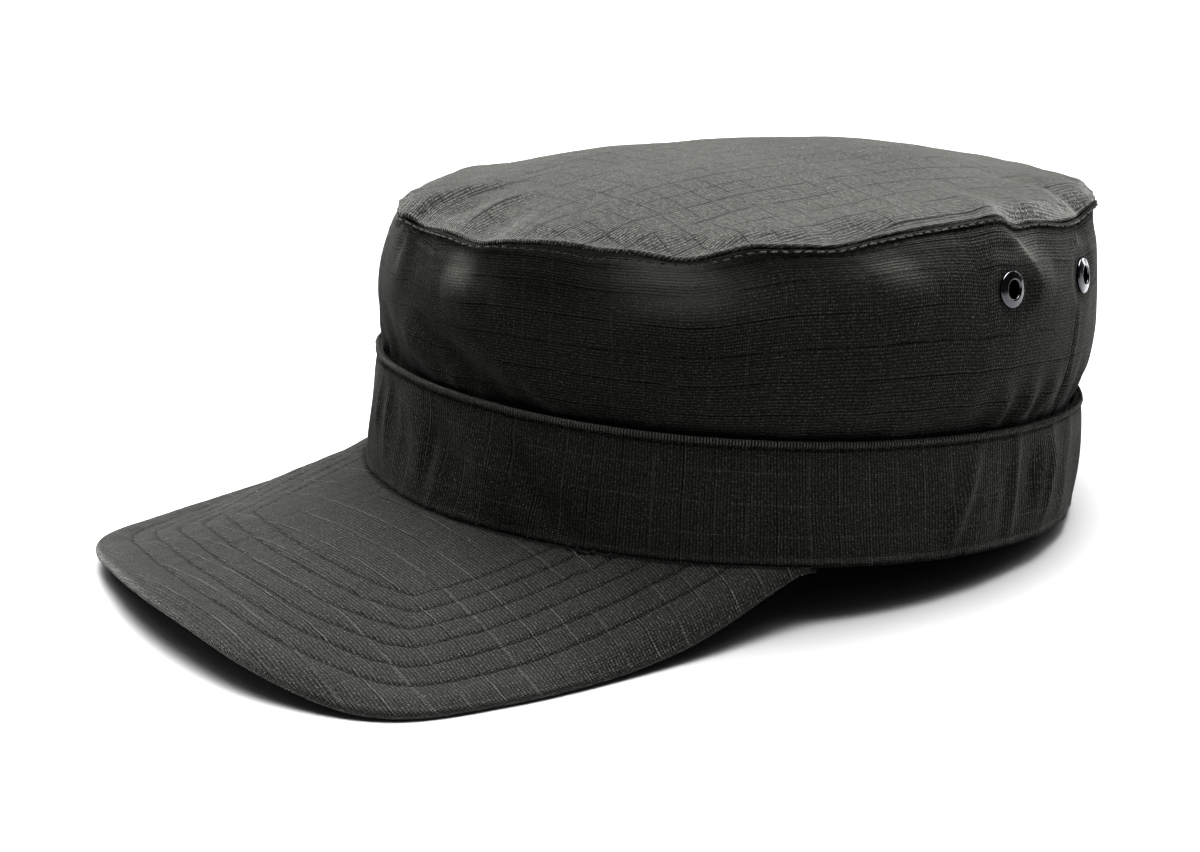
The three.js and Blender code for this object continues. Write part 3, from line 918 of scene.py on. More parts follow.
@dataclass
class Eyelet:
    """A rolled metal eyelet, set in the crown side where its node stands.

    Heights along its axis are measured outwards from its node's middle.
    """

    node: str
    angle: float
    share: float
    flange: float = 4.6
    bore: float = 2.3
    barrel: float = 3.0
    front: float = 1.1
    rear: float = -1.6
    sides: int = 72
    middle: Array = field(init=False)
    facing: Array = field(init=False)

    PRESS = 6.2
    PRESS_END = 10.5
    CLOTH_REACH = 15.0
    FAR_AWAY = 1000.0
    NEAR_SHARE = 0.06
    NEAR_ANGLE = 3.0
    INNER_ROLL = 0.45
    OUTER_ROLL = 0.5
    ROLL_STEPS = 7
    TEXTURE_GIRTH = 30.0

    def settle_in(self, crown: "CrownShape") -> None:
        """Finds where the eyelet sits from its node's box and the crown's cloth."""
        low, high = (np.array(corner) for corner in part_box(self.node))
        self.middle = STANCE.from_part((low + high) / 2)
        angle, share = np.array([self.angle]), np.array([[self.share]])
        above, below = (crown.plain(angle, share + step)[0] for step in (self.NEAR_SHARE, -self.NEAR_SHARE))
        left, right = (crown.plain(angle + step, share)[0] for step in (self.NEAR_ANGLE, -self.NEAR_ANGLE))
        self.facing = unit(np.cross((left - right)[0, 0], (above - below)[0, 0]))

    def press(self, points: Array, height: float) -> tuple[Array, Array]:
        """Presses cloth flat under the flange.

        Args:
            points: Rows by columns by 3.
            height: Where the cloth lies along the eyelet's axis.

        Returns:
            The moved points, and their distances from the axis. Cloth on the cap's other side is far away.
        """
        reach = points - self.middle
        rise = reach @ self.facing
        apart = np.linalg.norm(reach - rise[..., None] * self.facing, axis=-1)
        near = np.abs(rise) < self.CLOTH_REACH
        hold = (1 - smooth_step(apart, self.PRESS, self.PRESS_END)) * near
        moved = points + (hold * (height - rise))[..., None] * self.facing
        return moved, np.where(near, apart, self.FAR_AWAY)

    def profile(self) -> list[tuple[float, float]]:
        """The closed outline that is turned: radius and height, from the bore over the front to the rear."""
        inner, outer = self.INNER_ROLL, self.OUTER_ROLL
        inner_roll = [
            (self.bore + inner * (1 - math.cos(t)), self.front + 0.3 + inner * math.sin(t))
            for t in np.linspace(0.0, math.pi * 0.62, self.ROLL_STEPS)
        ]
        outer_roll = [
            (self.flange - outer * (1 - math.sin(t)), self.front - 0.12 + outer * math.cos(t))
            for t in np.linspace(0.1, math.pi * 0.55, self.ROLL_STEPS)
        ]
        bore = [(self.bore, self.rear), (self.bore, self.rear + 0.7)]
        flange_back = [(self.flange - 0.05, self.front - 0.45), (self.flange - 0.6, self.front - 0.6)]
        barrel = [(self.barrel, self.front - 0.6), (self.barrel, self.rear + 0.55)]
        washer = [(self.flange - 0.1, self.rear + 0.5), (self.flange, self.rear + 0.25)]
        washer += [(self.flange - 0.4, self.rear), (self.bore, self.rear)]
        return bore + inner_roll + outer_roll + flange_back + barrel + washer

    def build(self, finish: bpy.types.Material) -> bpy.types.Object:
        """Turns the profile about the eyelet's axis.

        Args:
            finish: The metal.

        Returns:
            The eyelet's object.
        """
        radius, height = (np.array(column) for column in zip(*self.profile()))
        across = unit(np.cross(self.facing, UPRIGHT))
        upward = np.cross(across, self.facing)
        turn = np.linspace(0.0, 2 * math.pi, self.sides, endpoint=False)
        spoke = np.cos(turn)[:, None] * across + np.sin(turn)[:, None] * upward
        points = self.middle + radius[:, None, None] * spoke + height[:, None, None] * self.facing
        around = np.linspace(0, self.TEXTURE_GIRTH, self.sides + 1)
        down = np.arange(1.0, len(radius) + 1)
        builder = MeshBuilder(f"{self.node}_ring")
        flat = np.stack(np.broadcast_arrays(around[None], down[:, None]), -1)
        builder.grid(points, flat, closed=True)
        return builder.build(finish)


class CrownShape:
    """The form that the crown side and the crown top share."""

    KNOTS = (
        (TUCK, 0.0),
        (THROAT, 0.0),
        (SWELL, 0.0),
        (WAIST, 0.0),
        (CHEST, 0.25),
        (SHOULDER, 0.7),
        (SEAM, 1.0),
    )
    PER_SPAN = 18
    AROUND = 560.0
    HEIGHT = 57.0
    TUCKED = 0.1
    OUT_OF_BAND = 0.2
    SLOPE_REACH = 0.4

    @staticmethod
    def seam_wave(angle: Array) -> tuple[Array, Array]:
        """How far the seam stands out and up at these angles."""
        out, up = np.zeros_like(angle), np.zeros_like(angle)
        for wave in SEAM_WAVES:
            near = bell(turn_between(wave.angle, angle), wave.width)
            out = out + wave.out * near
            up = up + wave.up * near
        return out, up

    def plain(self, angle: Array, share: Array) -> tuple[Array, Array, Array]:
        """The outer cloth without small relief.

        Args:
            angle: The angles, one for each row of shares.
            share: Angles by shares, of the cloth's length from the tucked edge to the seam.

        Returns:
            Points, the directions square to the cloth, and each angle's length of cloth.
        """
        out, up = self.seam_wave(angle)
        knots = []
        for section, wave_share in self.KNOTS:
            knot = section.point(angle) + section.outward(angle) * (out * wave_share)[:, None]
            knot[:, 2] += up * wave_share
            knots.append(knot)
        curves = catmull_rom(np.stack(knots, 1), self.PER_SPAN)
        run = run_along(curves)
        length = run[:, -1]
        wanted = share * length[:, None]
        points = self.read(curves, run, wanted)
        ahead = self.read(curves, run, np.minimum(wanted + self.SLOPE_REACH, length[:, None]))
        behind = self.read(curves, run, np.maximum(wanted - self.SLOPE_REACH, 0))
        upwards = unit(ahead - behind)
        outward = WAIST.outward(angle)[:, None, :]
        square = unit(outward - (outward * upwards).sum(-1, keepdims=True) * upwards)
        fade = 1 - smooth_step(share, self.TUCKED, GATHER_TOP)
        rise = sum(fold.at(angle[:, None], share) for fold in CROWN_FOLDS)
        rise = rise + sum(gather.at(angle[:, None], fade) for gather in GATHERS)
        free = smooth_step(share, self.TUCKED, self.OUT_OF_BAND)
        return points + (rise * free)[..., None] * outward, square, length

    @staticmethod
    def read(curves: Array, run: Array, wanted: Array) -> Array:
        """Points of each curve at the wanted lengths."""
        return np.stack([read_path(*row) for row in zip(curves, run, wanted)])


@dataclass
class StitchRow:
    """A row of straight machine stitches over cloth."""

    path: Array
    normals: Array
    pitch: float = 2.6
    fill: float = 0.78
    radius: float = 0.17
    proud: float = 0.1
    closed: bool = False

    SIDES = 6
    RINGS = 5
    LENGTHS = (0.9, 1.06)
    SLANT = 0.07
    HOLE_DEPTH = 0.16
    END_THICKNESS = 0.35
    ARCH_SPAN = (0.04, 0.96)
    ARCH_FULLNESS = 0.6

    def threads(self, random: np.random.Generator) -> Array:
        """Lays the stitches.

        Args:
            random: Draws each stitch's small faults.

        Returns:
            Stitches by rings by sides by 3.
        """
        path = np.concatenate([self.path, self.path[:1]]) if self.closed else self.path
        normals = np.concatenate([self.normals, self.normals[:1]]) if self.closed else self.normals
        run = run_along(path)
        count = max(2, int(run[-1] / self.pitch))
        start = (np.arange(count) + 0.5 * (1 - self.fill)) * run[-1] / count
        span = self.pitch * self.fill * random.uniform(*self.LENGTHS, count)
        along = np.linspace(0.0, 1.0, self.RINGS)
        wanted = start[:, None] + span[:, None] * along
        middle = read_path(path, run, wanted)
        normal = unit(read_path(normals, run, wanted))
        side = unit(np.cross(normal, unit(np.gradient(middle, axis=1))))
        slant = random.normal(0.0, self.SLANT, (count, 1)) * (along - 0.5) * 2
        arch = np.sin(np.pi * np.clip(along, *self.ARCH_SPAN)) ** self.ARCH_FULLNESS
        lift = self.proud * arch - self.HOLE_DEPTH * (1 - arch)
        middle = middle + normal * lift[:, None] + side * slant[..., None]
        thick = self.radius * (self.END_THICKNESS + (1 - self.END_THICKNESS) * arch)
        turn = np.linspace(0.0, 2 * math.pi, self.SIDES, endpoint=False)
        spoke = np.cos(turn)[:, None] * normal[:, :, None] + np.sin(turn)[:, None] * side[:, :, None]
        return middle[:, :, None] + spoke * thick[:, None, None]


class Stitching:
    """All rows of one seam family, joined into one mesh of thread."""

    CAP_QUADS = ([0, 1, 2, 3], [0, 3, 4, 5])

    def __init__(self, name: str, seed: int) -> None:
        """Starts with no rows.

        Args:
            name: The piece's name.
            seed: Sets the small faults of its stitches.
        """
        self.builder = MeshBuilder(name)
        self.random = np.random.default_rng(seed)

    def add(self, row: StitchRow) -> None:
        """Adds a row: each stitch's sides, then its two six-sided ends."""
        index = self.builder.add_points(row.threads(self.random))
        ring = np.concatenate([index, index[:, :, :1]], 2)
        sides = [ring[:, :-1, :-1], ring[:, :-1, 1:], ring[:, 1:, 1:], ring[:, 1:, :-1]]
        self.builder.add_quads(np.stack(sides, -1))
        ends = np.concatenate([index[:, 0], index[:, -1, ::-1]])
        for corners in self.CAP_QUADS:
            self.builder.add_quads(ends[:, corners])

    def build(self, finish: bpy.types.Material) -> bpy.types.Object:
        """Makes the thread's object."""
        return self.builder.build(finish)


@dataclass
class CrownSide:
    """The upright wall of the crown: a welt and stitches under the seam, bulges, folds and gathers.

    Heights are up the cloth from its tucked edge, and depths down the cloth from the seam.
    """

    crown: CrownShape
    eyelets: list[Eyelet]
    steps: int = 620
    thread_steps: int = 720
    welt: float = 1.7
    welt_rise: float = 0.8
    stitch_drop: float = 1.15
    allowance: float = 7.5
    allowance_rise: float = 0.24
    hole: float = 3.3
    pressed_face: float = 0.45
    pressed_back: float = -1.0
    panel_seam: float = 115.6
    # Strength of the painted light patches below the seam.
    painted_light_patch_strength: float = 0.8

    BULGES = RingRipple(seed=11, lumps=24, length=22, height=0.55)
    UNEVENNESS = RingRipple(seed=12, lumps=110, length=9, height=0.16)
    SEAM_PUCKERS = RingRipple(seed=13, lumps=190, length=26, height=0.3)
    BAND_PUCKERS = RingRipple(seed=13, lumps=150, length=30, height=0.3, start=7.3)
    SEAM_PUCKER_FADE = 6.0
    BAND_PUCKER_FADE = 7.0
    BAND_DEPTH = 8.0
    STITCH_GROOVE = Ridge(place=0, width=0.35, rise=-0.2)
    # Painted shade: a darker line just below the seam's stitches, where they shade the cloth.
    STITCH_PAINTED_SHADE = Ridge(place=0.35, width=0.3, rise=-0.7)
    # A thin darker line 4.5 mm below the seam.
    ALLOWANCE_DARKER_LINE = Ridge(place=-3.0, width=0.2, rise=-0.35)
    PANEL_RELIEF = (
        Ridge(place=0, width=0.6, rise=-0.5),
        Ridge(place=1.7, width=1.0, rise=0.28),
        Ridge(place=-1.9, width=1.0, rise=0.2),
    )
    # A lighter strip 0.9 mm beside the panel seams.
    PANEL_LIGHTER_STRIP = Ridge(place=0.9, width=0.35, rise=0.25)
    PANEL_SHADE = Ridge(place=0, width=0.4, rise=-0.5)
    PANEL_SHADE_TOP = 1.5

    CREASES = (
        Crease(start=(4, 35), end=(20, 33), width=6.0, rise=2.8),
        Crease(start=(50, 36), end=(84, 37), width=6.5, rise=2.8),
        Crease(start=(112, 43), end=(128, 44), width=6.5, rise=1.8),
        Crease(start=(148, 44), end=(166, 45), width=5.5, rise=1.2),
        Crease(start=(28, 40), end=(40, 42), width=5, rise=-0.8),
        Crease(start=(-15, 45), end=(-22, 28), width=5, rise=1.0),
        Crease(start=(148.6, 59), end=(157.1, 48.3), width=1.8, rise=1.4),
        Crease(start=(145, 56), end=(151, 47), width=2.6, rise=-0.8),
        Crease(start=(24.9, 19.8), end=(33.4, 7.6), width=3, rise=-0.9),
        Crease(start=(5, 15), end=(9, 8), width=3, rise=0.9),
        Crease(start=(15, 13), end=(18.5, 6), width=2.6, rise=0.8),
        Crease(start=(41, 19), end=(45, 11), width=4, rise=0.8),
        Crease(start=(149.3, 6), end=(154, 17), width=1.9, rise=0.9),
        Crease(start=(157.9, 6), end=(162, 16), width=1.8, rise=0.9),
        Crease(start=(167.2, 6), end=(171, 17), width=1.9, rise=1.0),
        Crease(start=(176.6, 5), end=(179, 15), width=1.8, rise=0.9),
        Crease(start=(187.4, 5), end=(189, 15), width=1.9, rise=0.9),
        Crease(start=(60, 7), end=(66, 13), width=2.5, rise=0.5),
        Crease(start=(92, 7), end=(99, 12), width=2.5, rise=0.45),
        Crease(start=(120, 7), end=(126, 14), width=2.8, rise=0.6),
        Crease(start=(-148, 56), end=(-158, 46), width=2, rise=1.2),
        Crease(start=(-60, 40), end=(-86, 38), width=7, rise=0.8),
        Crease(start=(-45, 20), end=(-56, 8), width=3.5, rise=-0.9),
        Crease(start=(-150, 6), end=(-155, 17), width=2, rise=0.9),
        Crease(start=(-163, 6), end=(-167, 16), width=2, rise=0.9),
        Crease(start=(-178, 6), end=(-181, 16), width=2, rise=0.9),
    )

    # Painted light: lighter patches on the bulges below the seam, where the raised cloth catches the
    # overhead light.
    PAINTED_LIGHT_PATCHES = (
        Crease(start=(6, 41), end=(17, 39), width=5.5, rise=1.6),
        Crease(start=(52, 44), end=(82, 46), width=6.5, rise=1.9),
        Crease(start=(112, 51), end=(126, 52), width=5.5, rise=0.8),
        Crease(start=(150, 53), end=(162, 52), width=5.0, rise=0.9),
        Crease(start=(-52, 44), end=(-78, 46), width=6.5, rise=1.5),
    )

    def relief(self, angle: Array, share: Array, length: Array) -> tuple[Array, Array]:
        """Small relief of the outer cloth.

        Args:
            angle: Angles, by one.
            share: Angles by shares.
            length: Each angle's length of cloth, by one.

        Returns:
            How far the cloth stands out, and its map of colour: painted light, painted shade, and lighter
            and darker lines.
        """
        up, down = share * length, (1 - share) * length
        across = angle / 360.0 * self.crown.AROUND
        beside = turn_between(self.panel_seam, np.abs(angle)) * self.crown.AROUND / 360.0
        rise = self.BULGES.at(angle, up) * smooth_step(share, 0.15, 0.35) + self.UNEVENNESS.at(angle, up)
        rise = rise + self.SEAM_PUCKERS.at(angle, up) * np.exp(-down / self.SEAM_PUCKER_FADE)
        above_band = np.maximum(up - self.BAND_DEPTH, 0)
        rise = rise + self.BAND_PUCKERS.at(angle, up) * np.exp(-above_band / self.BAND_PUCKER_FADE)
        rise = rise + self.welt_rise * (1 - smooth_step(down, self.welt - 0.3, self.welt + 0.3))
        rise = rise + self.STITCH_GROOVE.at(down - self.stitch_drop)
        rise = rise + self.allowance_rise * (1 - smooth_step(down, self.allowance - 1, self.allowance + 1))
        rise = rise + sum(crease.at(across, up) for crease in self.CREASES)
        rise = rise + sum(ridge.at(beside) for ridge in self.PANEL_RELIEF)
        wear_and_painted_light = self.STITCH_PAINTED_SHADE.at(down - self.stitch_drop) + self.ALLOWANCE_DARKER_LINE.at(down - self.allowance)
        wear_and_painted_light = wear_and_painted_light + self.painted_light_patch_strength * sum(fade.at(across, up) for fade in self.PAINTED_LIGHT_PATCHES)
        wear_and_painted_light = wear_and_painted_light + self.PANEL_LIGHTER_STRIP.at(beside) + self.PANEL_SHADE.at(beside) * (down > self.PANEL_SHADE_TOP)
        return rise, wear_and_painted_light

    def surface(self, angle: Array, share: Array) -> tuple[Array, Array, Array]:
        """The outer cloth with its relief.

        Args:
            angle: The angles.
            share: Angles by shares.

        Returns:
            Points, square directions and the map of painted light and shade.
        """
        points, square, length = self.crown.plain(angle, share)
        rise, wear_and_painted_light = self.relief(angle[:, None], share, length[:, None])
        return points + rise[..., None] * square, square, wear_and_painted_light

    def shares(self) -> Array:
        """Shares of the cloth's length, closest near the seam."""
        return np.concatenate([np.linspace(0.0, 0.8, 44, endpoint=False), np.linspace(0.8, 1.0, 30)])

    def build(self, finish: bpy.types.Material, thread: bpy.types.Material) -> list[bpy.types.Object]:
        """Makes the wall and its row of stitches.

        Args:
            finish: The cloth.
            thread: The thread.

        Returns:
            The wall's object and the thread's object.
        """
        angle, shares = ring_angles(self.steps), self.shares()
        share = np.broadcast_to(shares, (self.steps, len(shares)))
        outer, _, wear_and_painted_light = self.surface(angle, share)
        plain, square, _ = self.crown.plain(angle, share)
        inner = plain - CLOTH_THICKNESS * square
        keep = np.ones((self.steps, len(shares) - 1), bool)
        for eyelet in self.eyelets:
            outer, apart = eyelet.press(outer, self.pressed_face)
            inner, _ = eyelet.press(inner, self.pressed_back)
            far = np.concatenate([apart, apart[:1]])
            middle = (far[:-1, :-1] + far[1:, :-1] + far[:-1, 1:] + far[1:, 1:]) / 4
            keep &= middle > self.hole
        across = np.append(angle, 180.0) / 360.0 * self.crown.AROUND
        flat = np.stack(np.broadcast_arrays(across[None], (shares * self.crown.HEIGHT)[:, None]), -1)
        builder = MeshBuilder("crown_side_cloth")
        face = builder.grid(outer.transpose(1, 0, 2), flat, wear_and_painted_light.T, closed=True, keep=keep.T)
        back = builder.grid(inner.transpose(1, 0, 2), flat, closed=True, flip=True, keep=keep.T)
        lower_back, lower_face = (np.append(index[0], index[0, 0]) for index in (back, face))
        upper_back, upper_face = (np.append(index[-1], index[-1, 0]) for index in (back, face))
        builder.bridge(lower_back, lower_face)
        builder.bridge(upper_face, upper_back)
        sewing = Stitching("crown_seam_thread", 5)
        sewing.add(self.seam_row())
        return [builder.build(finish), sewing.build(thread)]

    def seam_row(self) -> StitchRow:
        """The row of stitches under the seam."""
        ring = ring_angles(self.thread_steps)
        _, _, length = self.crown.plain(ring, np.ones((len(ring), 1)))
        points, normals, _ = self.surface(ring, 1 - self.stitch_drop / length[:, None])
        return StitchRow(
            points[:, 0], normals[:, 0], pitch=2.9, fill=0.76, radius=0.27, proud=0.26, closed=True
        )


@dataclass
class CrownTop:
    """The crown's top: a low dome with a rolled lip over the seam and puckers along it."""

    crown: CrownShape
    rise: float = 13.6
    power: float = 2.3
    edge_lift: float = 1.2
    wave_reach: float = 5.0
    half_size: float = 88.0
    steps: int = 720
    lip: float = 0.45
    lip_drop: float = 1.35

    BULGES = PlanRipple(seed=21, size=30, height=0.9)
    UNEVENNESS = PlanRipple(seed=22, size=9, height=0.22)
    PULLS = RingRipple(seed=23, lumps=120, length=30, height=0.75)
    PUCKERS = RingRipple(seed=23, lumps=260, length=14, height=0.3, start=3.1)
    PULL_FADE = 9.0
    PUCKER_FADE = 5.0
    LIP_TURNS = (20, 40, 60, 80, 100, 125, 150, 175)
    LIP_FULLNESS = 0.7
    # The lip's outer edge is lighter: rubbing, and a painted highlight of the light it catches.
    LIP_WEAR_AND_HIGHLIGHT = 0.3
    LIP_SHADE = -0.3

    CREASES = (
        Crease(start=(-14.4, -94), end=(-10, -68), width=2.2, rise=1.9),
        Crease(start=(-14.4, -93), end=(-20, -78), width=2.0, rise=1.3),
        Crease(start=(6.5, -91), end=(5.5, -72), width=2.4, rise=1.7),
        Crease(start=(13, -94), end=(17, -86), width=4.2, rise=-2.0),
        Crease(start=(-5, -93), end=(-3, -80), width=3.2, rise=-1.8),
        Crease(start=(-24, -89), end=(-22, -80), width=3, rise=-1.2),
        Crease(start=(44, -85), end=(53, -77), width=3, rise=-1.1),
        Crease(start=(56, -73), end=(63, -62), width=3, rise=-1.1),
        Crease(start=(72.5, -39), end=(73.5, -23), width=3, rise=-1.3),
        Crease(start=(70, -38), end=(69, -20), width=3, rise=0.6),
        Crease(start=(71.5, 12), end=(71, 44), width=3, rise=1.2),
        Crease(start=(76.5, 18), end=(75.5, 42), width=2.4, rise=-1.0),
        Crease(start=(60, 74), end=(52, 66), width=3.5, rise=1.2),
        Crease(start=(-72, 40), end=(-70, 16), width=3, rise=1.0),
        Crease(start=(-70, -50), end=(-62, -40), width=3.5, rise=1.0),
        Crease(start=(-40, 88), end=(-34, 76), width=3, rise=1.0),
        Crease(start=(20, 93), end=(17, 80), width=3, rise=-1.0),
    )

    def plain(self, angle: Array, share: Array) -> Array:
        """The dome without small relief.

        Args:
            angle: The angles.
            share: Angles by shares of the way from the middle to the seam.

        Returns:
            Points.
        """
        middle = np.array([0.0, SEAM.shift, (SEAM.front + SEAM.rear) / 2])
        edge, _, _ = self.crown.plain(angle, np.ones((len(angle), 1)))
        level = SEAM.point(angle)[:, None]
        rim = level + (edge - level) * (share**self.wave_reach)[..., None]
        points = middle + (rim - middle) * share[..., None]
        inside = np.maximum(1 - share, 0.0)
        points[..., 2] += self.rise * (1 - share**self.power)
        points[..., 2] += self.edge_lift * (1 - smooth_step(inside, 0.04, 0.3)) * (1 - bell(inside, 0.03))
        return points

    def surface(self, angle: Array, share: Array) -> Array:
        """The dome's upper cloth with its relief."""
        points = self.plain(angle, share)
        x, y = points[..., 0], points[..., 1]
        inside = (1 - share) * self.half_size
        pulls = self.PULLS.at(angle[:, None], inside) * np.exp(-inside / self.PULL_FADE)
        puckers = self.PUCKERS.at(angle[:, None], inside) * np.exp(-inside / self.PUCKER_FADE)
        rise = self.BULGES.at(x, y) * smooth_step(inside, 0, 12)
        rise = rise + self.UNEVENNESS.at(x, y) * smooth_step(inside, 0, 6)
        rise = rise + pulls * smooth_step(inside, 0.2, 3) + puckers * smooth_step(inside, 0.2, 2)
        rise = rise + sum(crease.at(x, y) for crease in self.CREASES)
        points[..., 2] += rise
        return points

    def build(self, finish: bpy.types.Material) -> bpy.types.Object:
        """Makes the dome, its lip and its underside.

        Args:
            finish: The cloth.

        Returns:
            The dome's object.
        """
        angle = ring_angles(self.steps)
        share = np.concatenate([np.linspace(0.004, 0.84, 46, endpoint=False), np.linspace(0.84, 1.0, 26)])
        upper = self.surface(angle, np.broadcast_to(share, (self.steps, len(share))))
        upper[..., 2] += self.lip_drop
        out = SEAM.outward(angle)
        lip = []
        for turn in np.radians(self.LIP_TURNS):
            point = upper[:, -1] + self.lip * math.sin(turn) ** self.LIP_FULLNESS * out
            point[:, 2] -= self.lip_drop / 2 * (1 - math.cos(turn))
            lip.append(point)
        under_share = np.linspace(0.985, 0.004, 30)
        under = self.plain(angle, np.broadcast_to(under_share, (self.steps, len(under_share))))
        points = np.concatenate([upper, np.stack(lip, 1), under], 1).transpose(1, 0, 2)
        flat = points[..., :2].copy()
        lip_start, lip_end = len(share), len(share) + len(lip)
        dropped = upper[:, -1, 2] - points[lip_start:lip_end, :, 2]
        flat[lip_start:lip_end] += out[:, :2] * dropped[..., None]
        flat = np.concatenate([flat, flat[:, :1]], 1)
        wear_and_painted_light = np.zeros(points.shape[:2])
        wear_and_painted_light[lip_start - 1 : lip_start + 2] = self.LIP_WEAR_AND_HIGHLIGHT
        wear_and_painted_light[lip_start + 4 : lip_end] = self.LIP_SHADE
        builder = MeshBuilder("crown_top_cloth")
        builder.grid(points, flat, wear_and_painted_light, closed=True, flip=True)
        return builder.build(finish)


@dataclass
class Band:
    """The band: a folded ribbed edge, rows of stitches, dents and upright folds.

    Heights are up the cloth from the hem, and depths down the cloth from the folded edge.
    """

    steps: int = 620
    thread_steps: int = 720
    hem_thread_steps: int = 500
    thickness: float = 1.7
    stitch_drop: float = 1.15
    hem_stitch: float = 2.3
    hem_from: float = 61.0
    around: float = 595.0
    rib_pitch: float = 0.8
    edge_radius: float = 0.72

    DENTS = RingRipple(seed=31, lumps=36, length=17, height=0.45)
    UNEVENNESS = RingRipple(seed=32, lumps=120, length=8, height=0.14)
    PUCKERS = RingRipple(seed=33, lumps=230, length=20, height=0.18)
    PUCKER_FADE = 4.0
    EDGE_RIDGE = Ridge(place=0.405, width=0.558, rise=0.4)
    STITCH_GROOVE = Ridge(place=0, width=0.4, rise=-0.3)
    # Painted shade: a darker line along the stitch groove under the folded edge.
    STITCH_PAINTED_SHADE = Ridge(place=0, width=0.3, rise=-0.6)
    HEM_ROLL = Ridge(place=0.9, width=0.9, rise=0.2)
    HEM_GROOVE = Ridge(place=0, width=0.5, rise=-0.2)
    # Lighter along the hem's roll: rubbing, and a painted highlight of the light the roll catches.
    HEM_WEAR_AND_HIGHLIGHT = Ridge(place=1.4, width=0.7, rise=0.22)
    HEM_SHADE = Ridge(place=0, width=0.45, rise=-0.6)
    FOLD_TURNS = (20, 45, 70, 90, 110, 135, 160)
    FOLD_HEIGHT = 0.8
    HEM_DEPTH = 0.4
    # The folded top edge is lighter: rubbing, and a painted highlight of the overhead light it catches.
    FOLD_WEAR_AND_HIGHLIGHT = 0.5
    BEND_LENGTH = 1.8
    EDGE_FLAT_START = 27.0
    EDGE_FLAT_STEP = 0.4
    EDGE_TURNS = (-75, -48, -22, 4, 30, 56, 82, 108, 134, 160)
    STRAND_STEPS = 4
    STRAND_RISE = 0.15
    STRAND_TWIST = 0.45
    LOOSE_END_LIFT = 1.1
    LOOSE_END_STEPS = 9
    LOOSE_END_CURL = 1.4
    LOOSE_END_BAND = 29.0

    CREASES = (
        Crease(start=(50, 21), end=(52, 28), width=0.9, rise=-0.45),
        Crease(start=(54.5, 21), end=(52.4, 28), width=0.9, rise=-0.45),
        Crease(start=(1.7, 20), end=(0.8, 3), width=2.4, rise=-1.0),
        Crease(start=(29.8, 21), end=(45, 4), width=3, rise=-1.0),
        Crease(start=(36, 22), end=(52, 6), width=3, rise=0.6),
        Crease(start=(154, 27), end=(144.5, 2), width=2.1, rise=1.7),
        Crease(start=(161.5, 24), end=(156, 5), width=2.4, rise=-0.7),
        Crease(start=(168, 27), end=(166, 2), width=1.9, rise=1.5),
        Crease(start=(176, 24), end=(173.5, 5), width=2.4, rise=-0.8),
        Crease(start=(185.5, 27), end=(180.5, 2), width=1.7, rise=1.6),
        Crease(start=(-24, 27), end=(-22, 6), width=1.6, rise=0.7),
        Crease(start=(-29, 26), end=(-30, 10), width=1.5, rise=0.6),
        Crease(start=(-16, 25), end=(-14, 12), width=1.8, rise=0.5),
    )

    LOOSE_ENDS = ((49.0, 53.5, 1.3), (53.0, 56.5, -0.6), (58.2, 60.6, -0.8))

    def surface(self, angle: Array, share: Array) -> tuple[Array, Array, Array]:
        """The outer cloth with its relief.

        Args:
            angle: The angles.
            share: Angles by shares of the band's height.

        Returns:
            Points, outward directions and a map of colour: painted shade, rubbing and painted highlights.
        """
        low, high = HEM.point(angle)[:, None], BAND_TOP.point(angle)[:, None]
        out = HEM.outward(angle)[:, None]
        angle, height = angle[:, None], self.height(angle)
        up, down = share * height, (1 - share) * height
        across = angle / 360 * self.around
        rise = sum(fold.at(angle, share) for fold in BAND_FOLDS)
        rise = rise + self.DENTS.at(angle, up) + self.UNEVENNESS.at(angle, up)
        edges = np.exp(-down / self.PUCKER_FADE) + np.exp(-up / self.PUCKER_FADE)
        rise = rise + self.PUCKERS.at(angle, up) * edges
        rise = rise + self.EDGE_RIDGE.at(down) + self.STITCH_GROOVE.at(down - self.stitch_drop)
        free = smooth_step(np.abs(angle), self.hem_from - 2, self.hem_from + 2)
        rise = rise + free * (self.HEM_ROLL.at(up) + self.HEM_GROOVE.at(up - self.hem_stitch))
        rise = rise + sum(crease.at(across, up) for crease in self.CREASES)
        wear_and_painted_light = self.STITCH_PAINTED_SHADE.at(down - self.stitch_drop) + self.HEM_WEAR_AND_HIGHLIGHT.at(up) + self.HEM_SHADE.at(up)
        points = low + (high - low) * share[..., None] + rise[..., None] * out
        return points, np.broadcast_to(out, points.shape), wear_and_painted_light

    @staticmethod
    def height(angle: Array) -> Array:
        """The band's height at each angle, by one."""
        return np.linalg.norm(BAND_TOP.point(angle) - HEM.point(angle), axis=-1)[:, None]

    def build(self, finish: bpy.types.Material, thread: bpy.types.Material) -> list[bpy.types.Object]:
        """Makes the band and its rows of stitches.

        Args:
            finish: The cloth.
            thread: The thread.

        Returns:
            The band's object and the thread's object.
        """
        builder = MeshBuilder("band_cloth")
        self.add_wall(builder)
        self.add_edge(builder)
        sewing = Stitching("band_thread", 6)
        for row in self.stitch_rows():
            sewing.add(row)
        return [builder.build(finish), sewing.build(thread)]

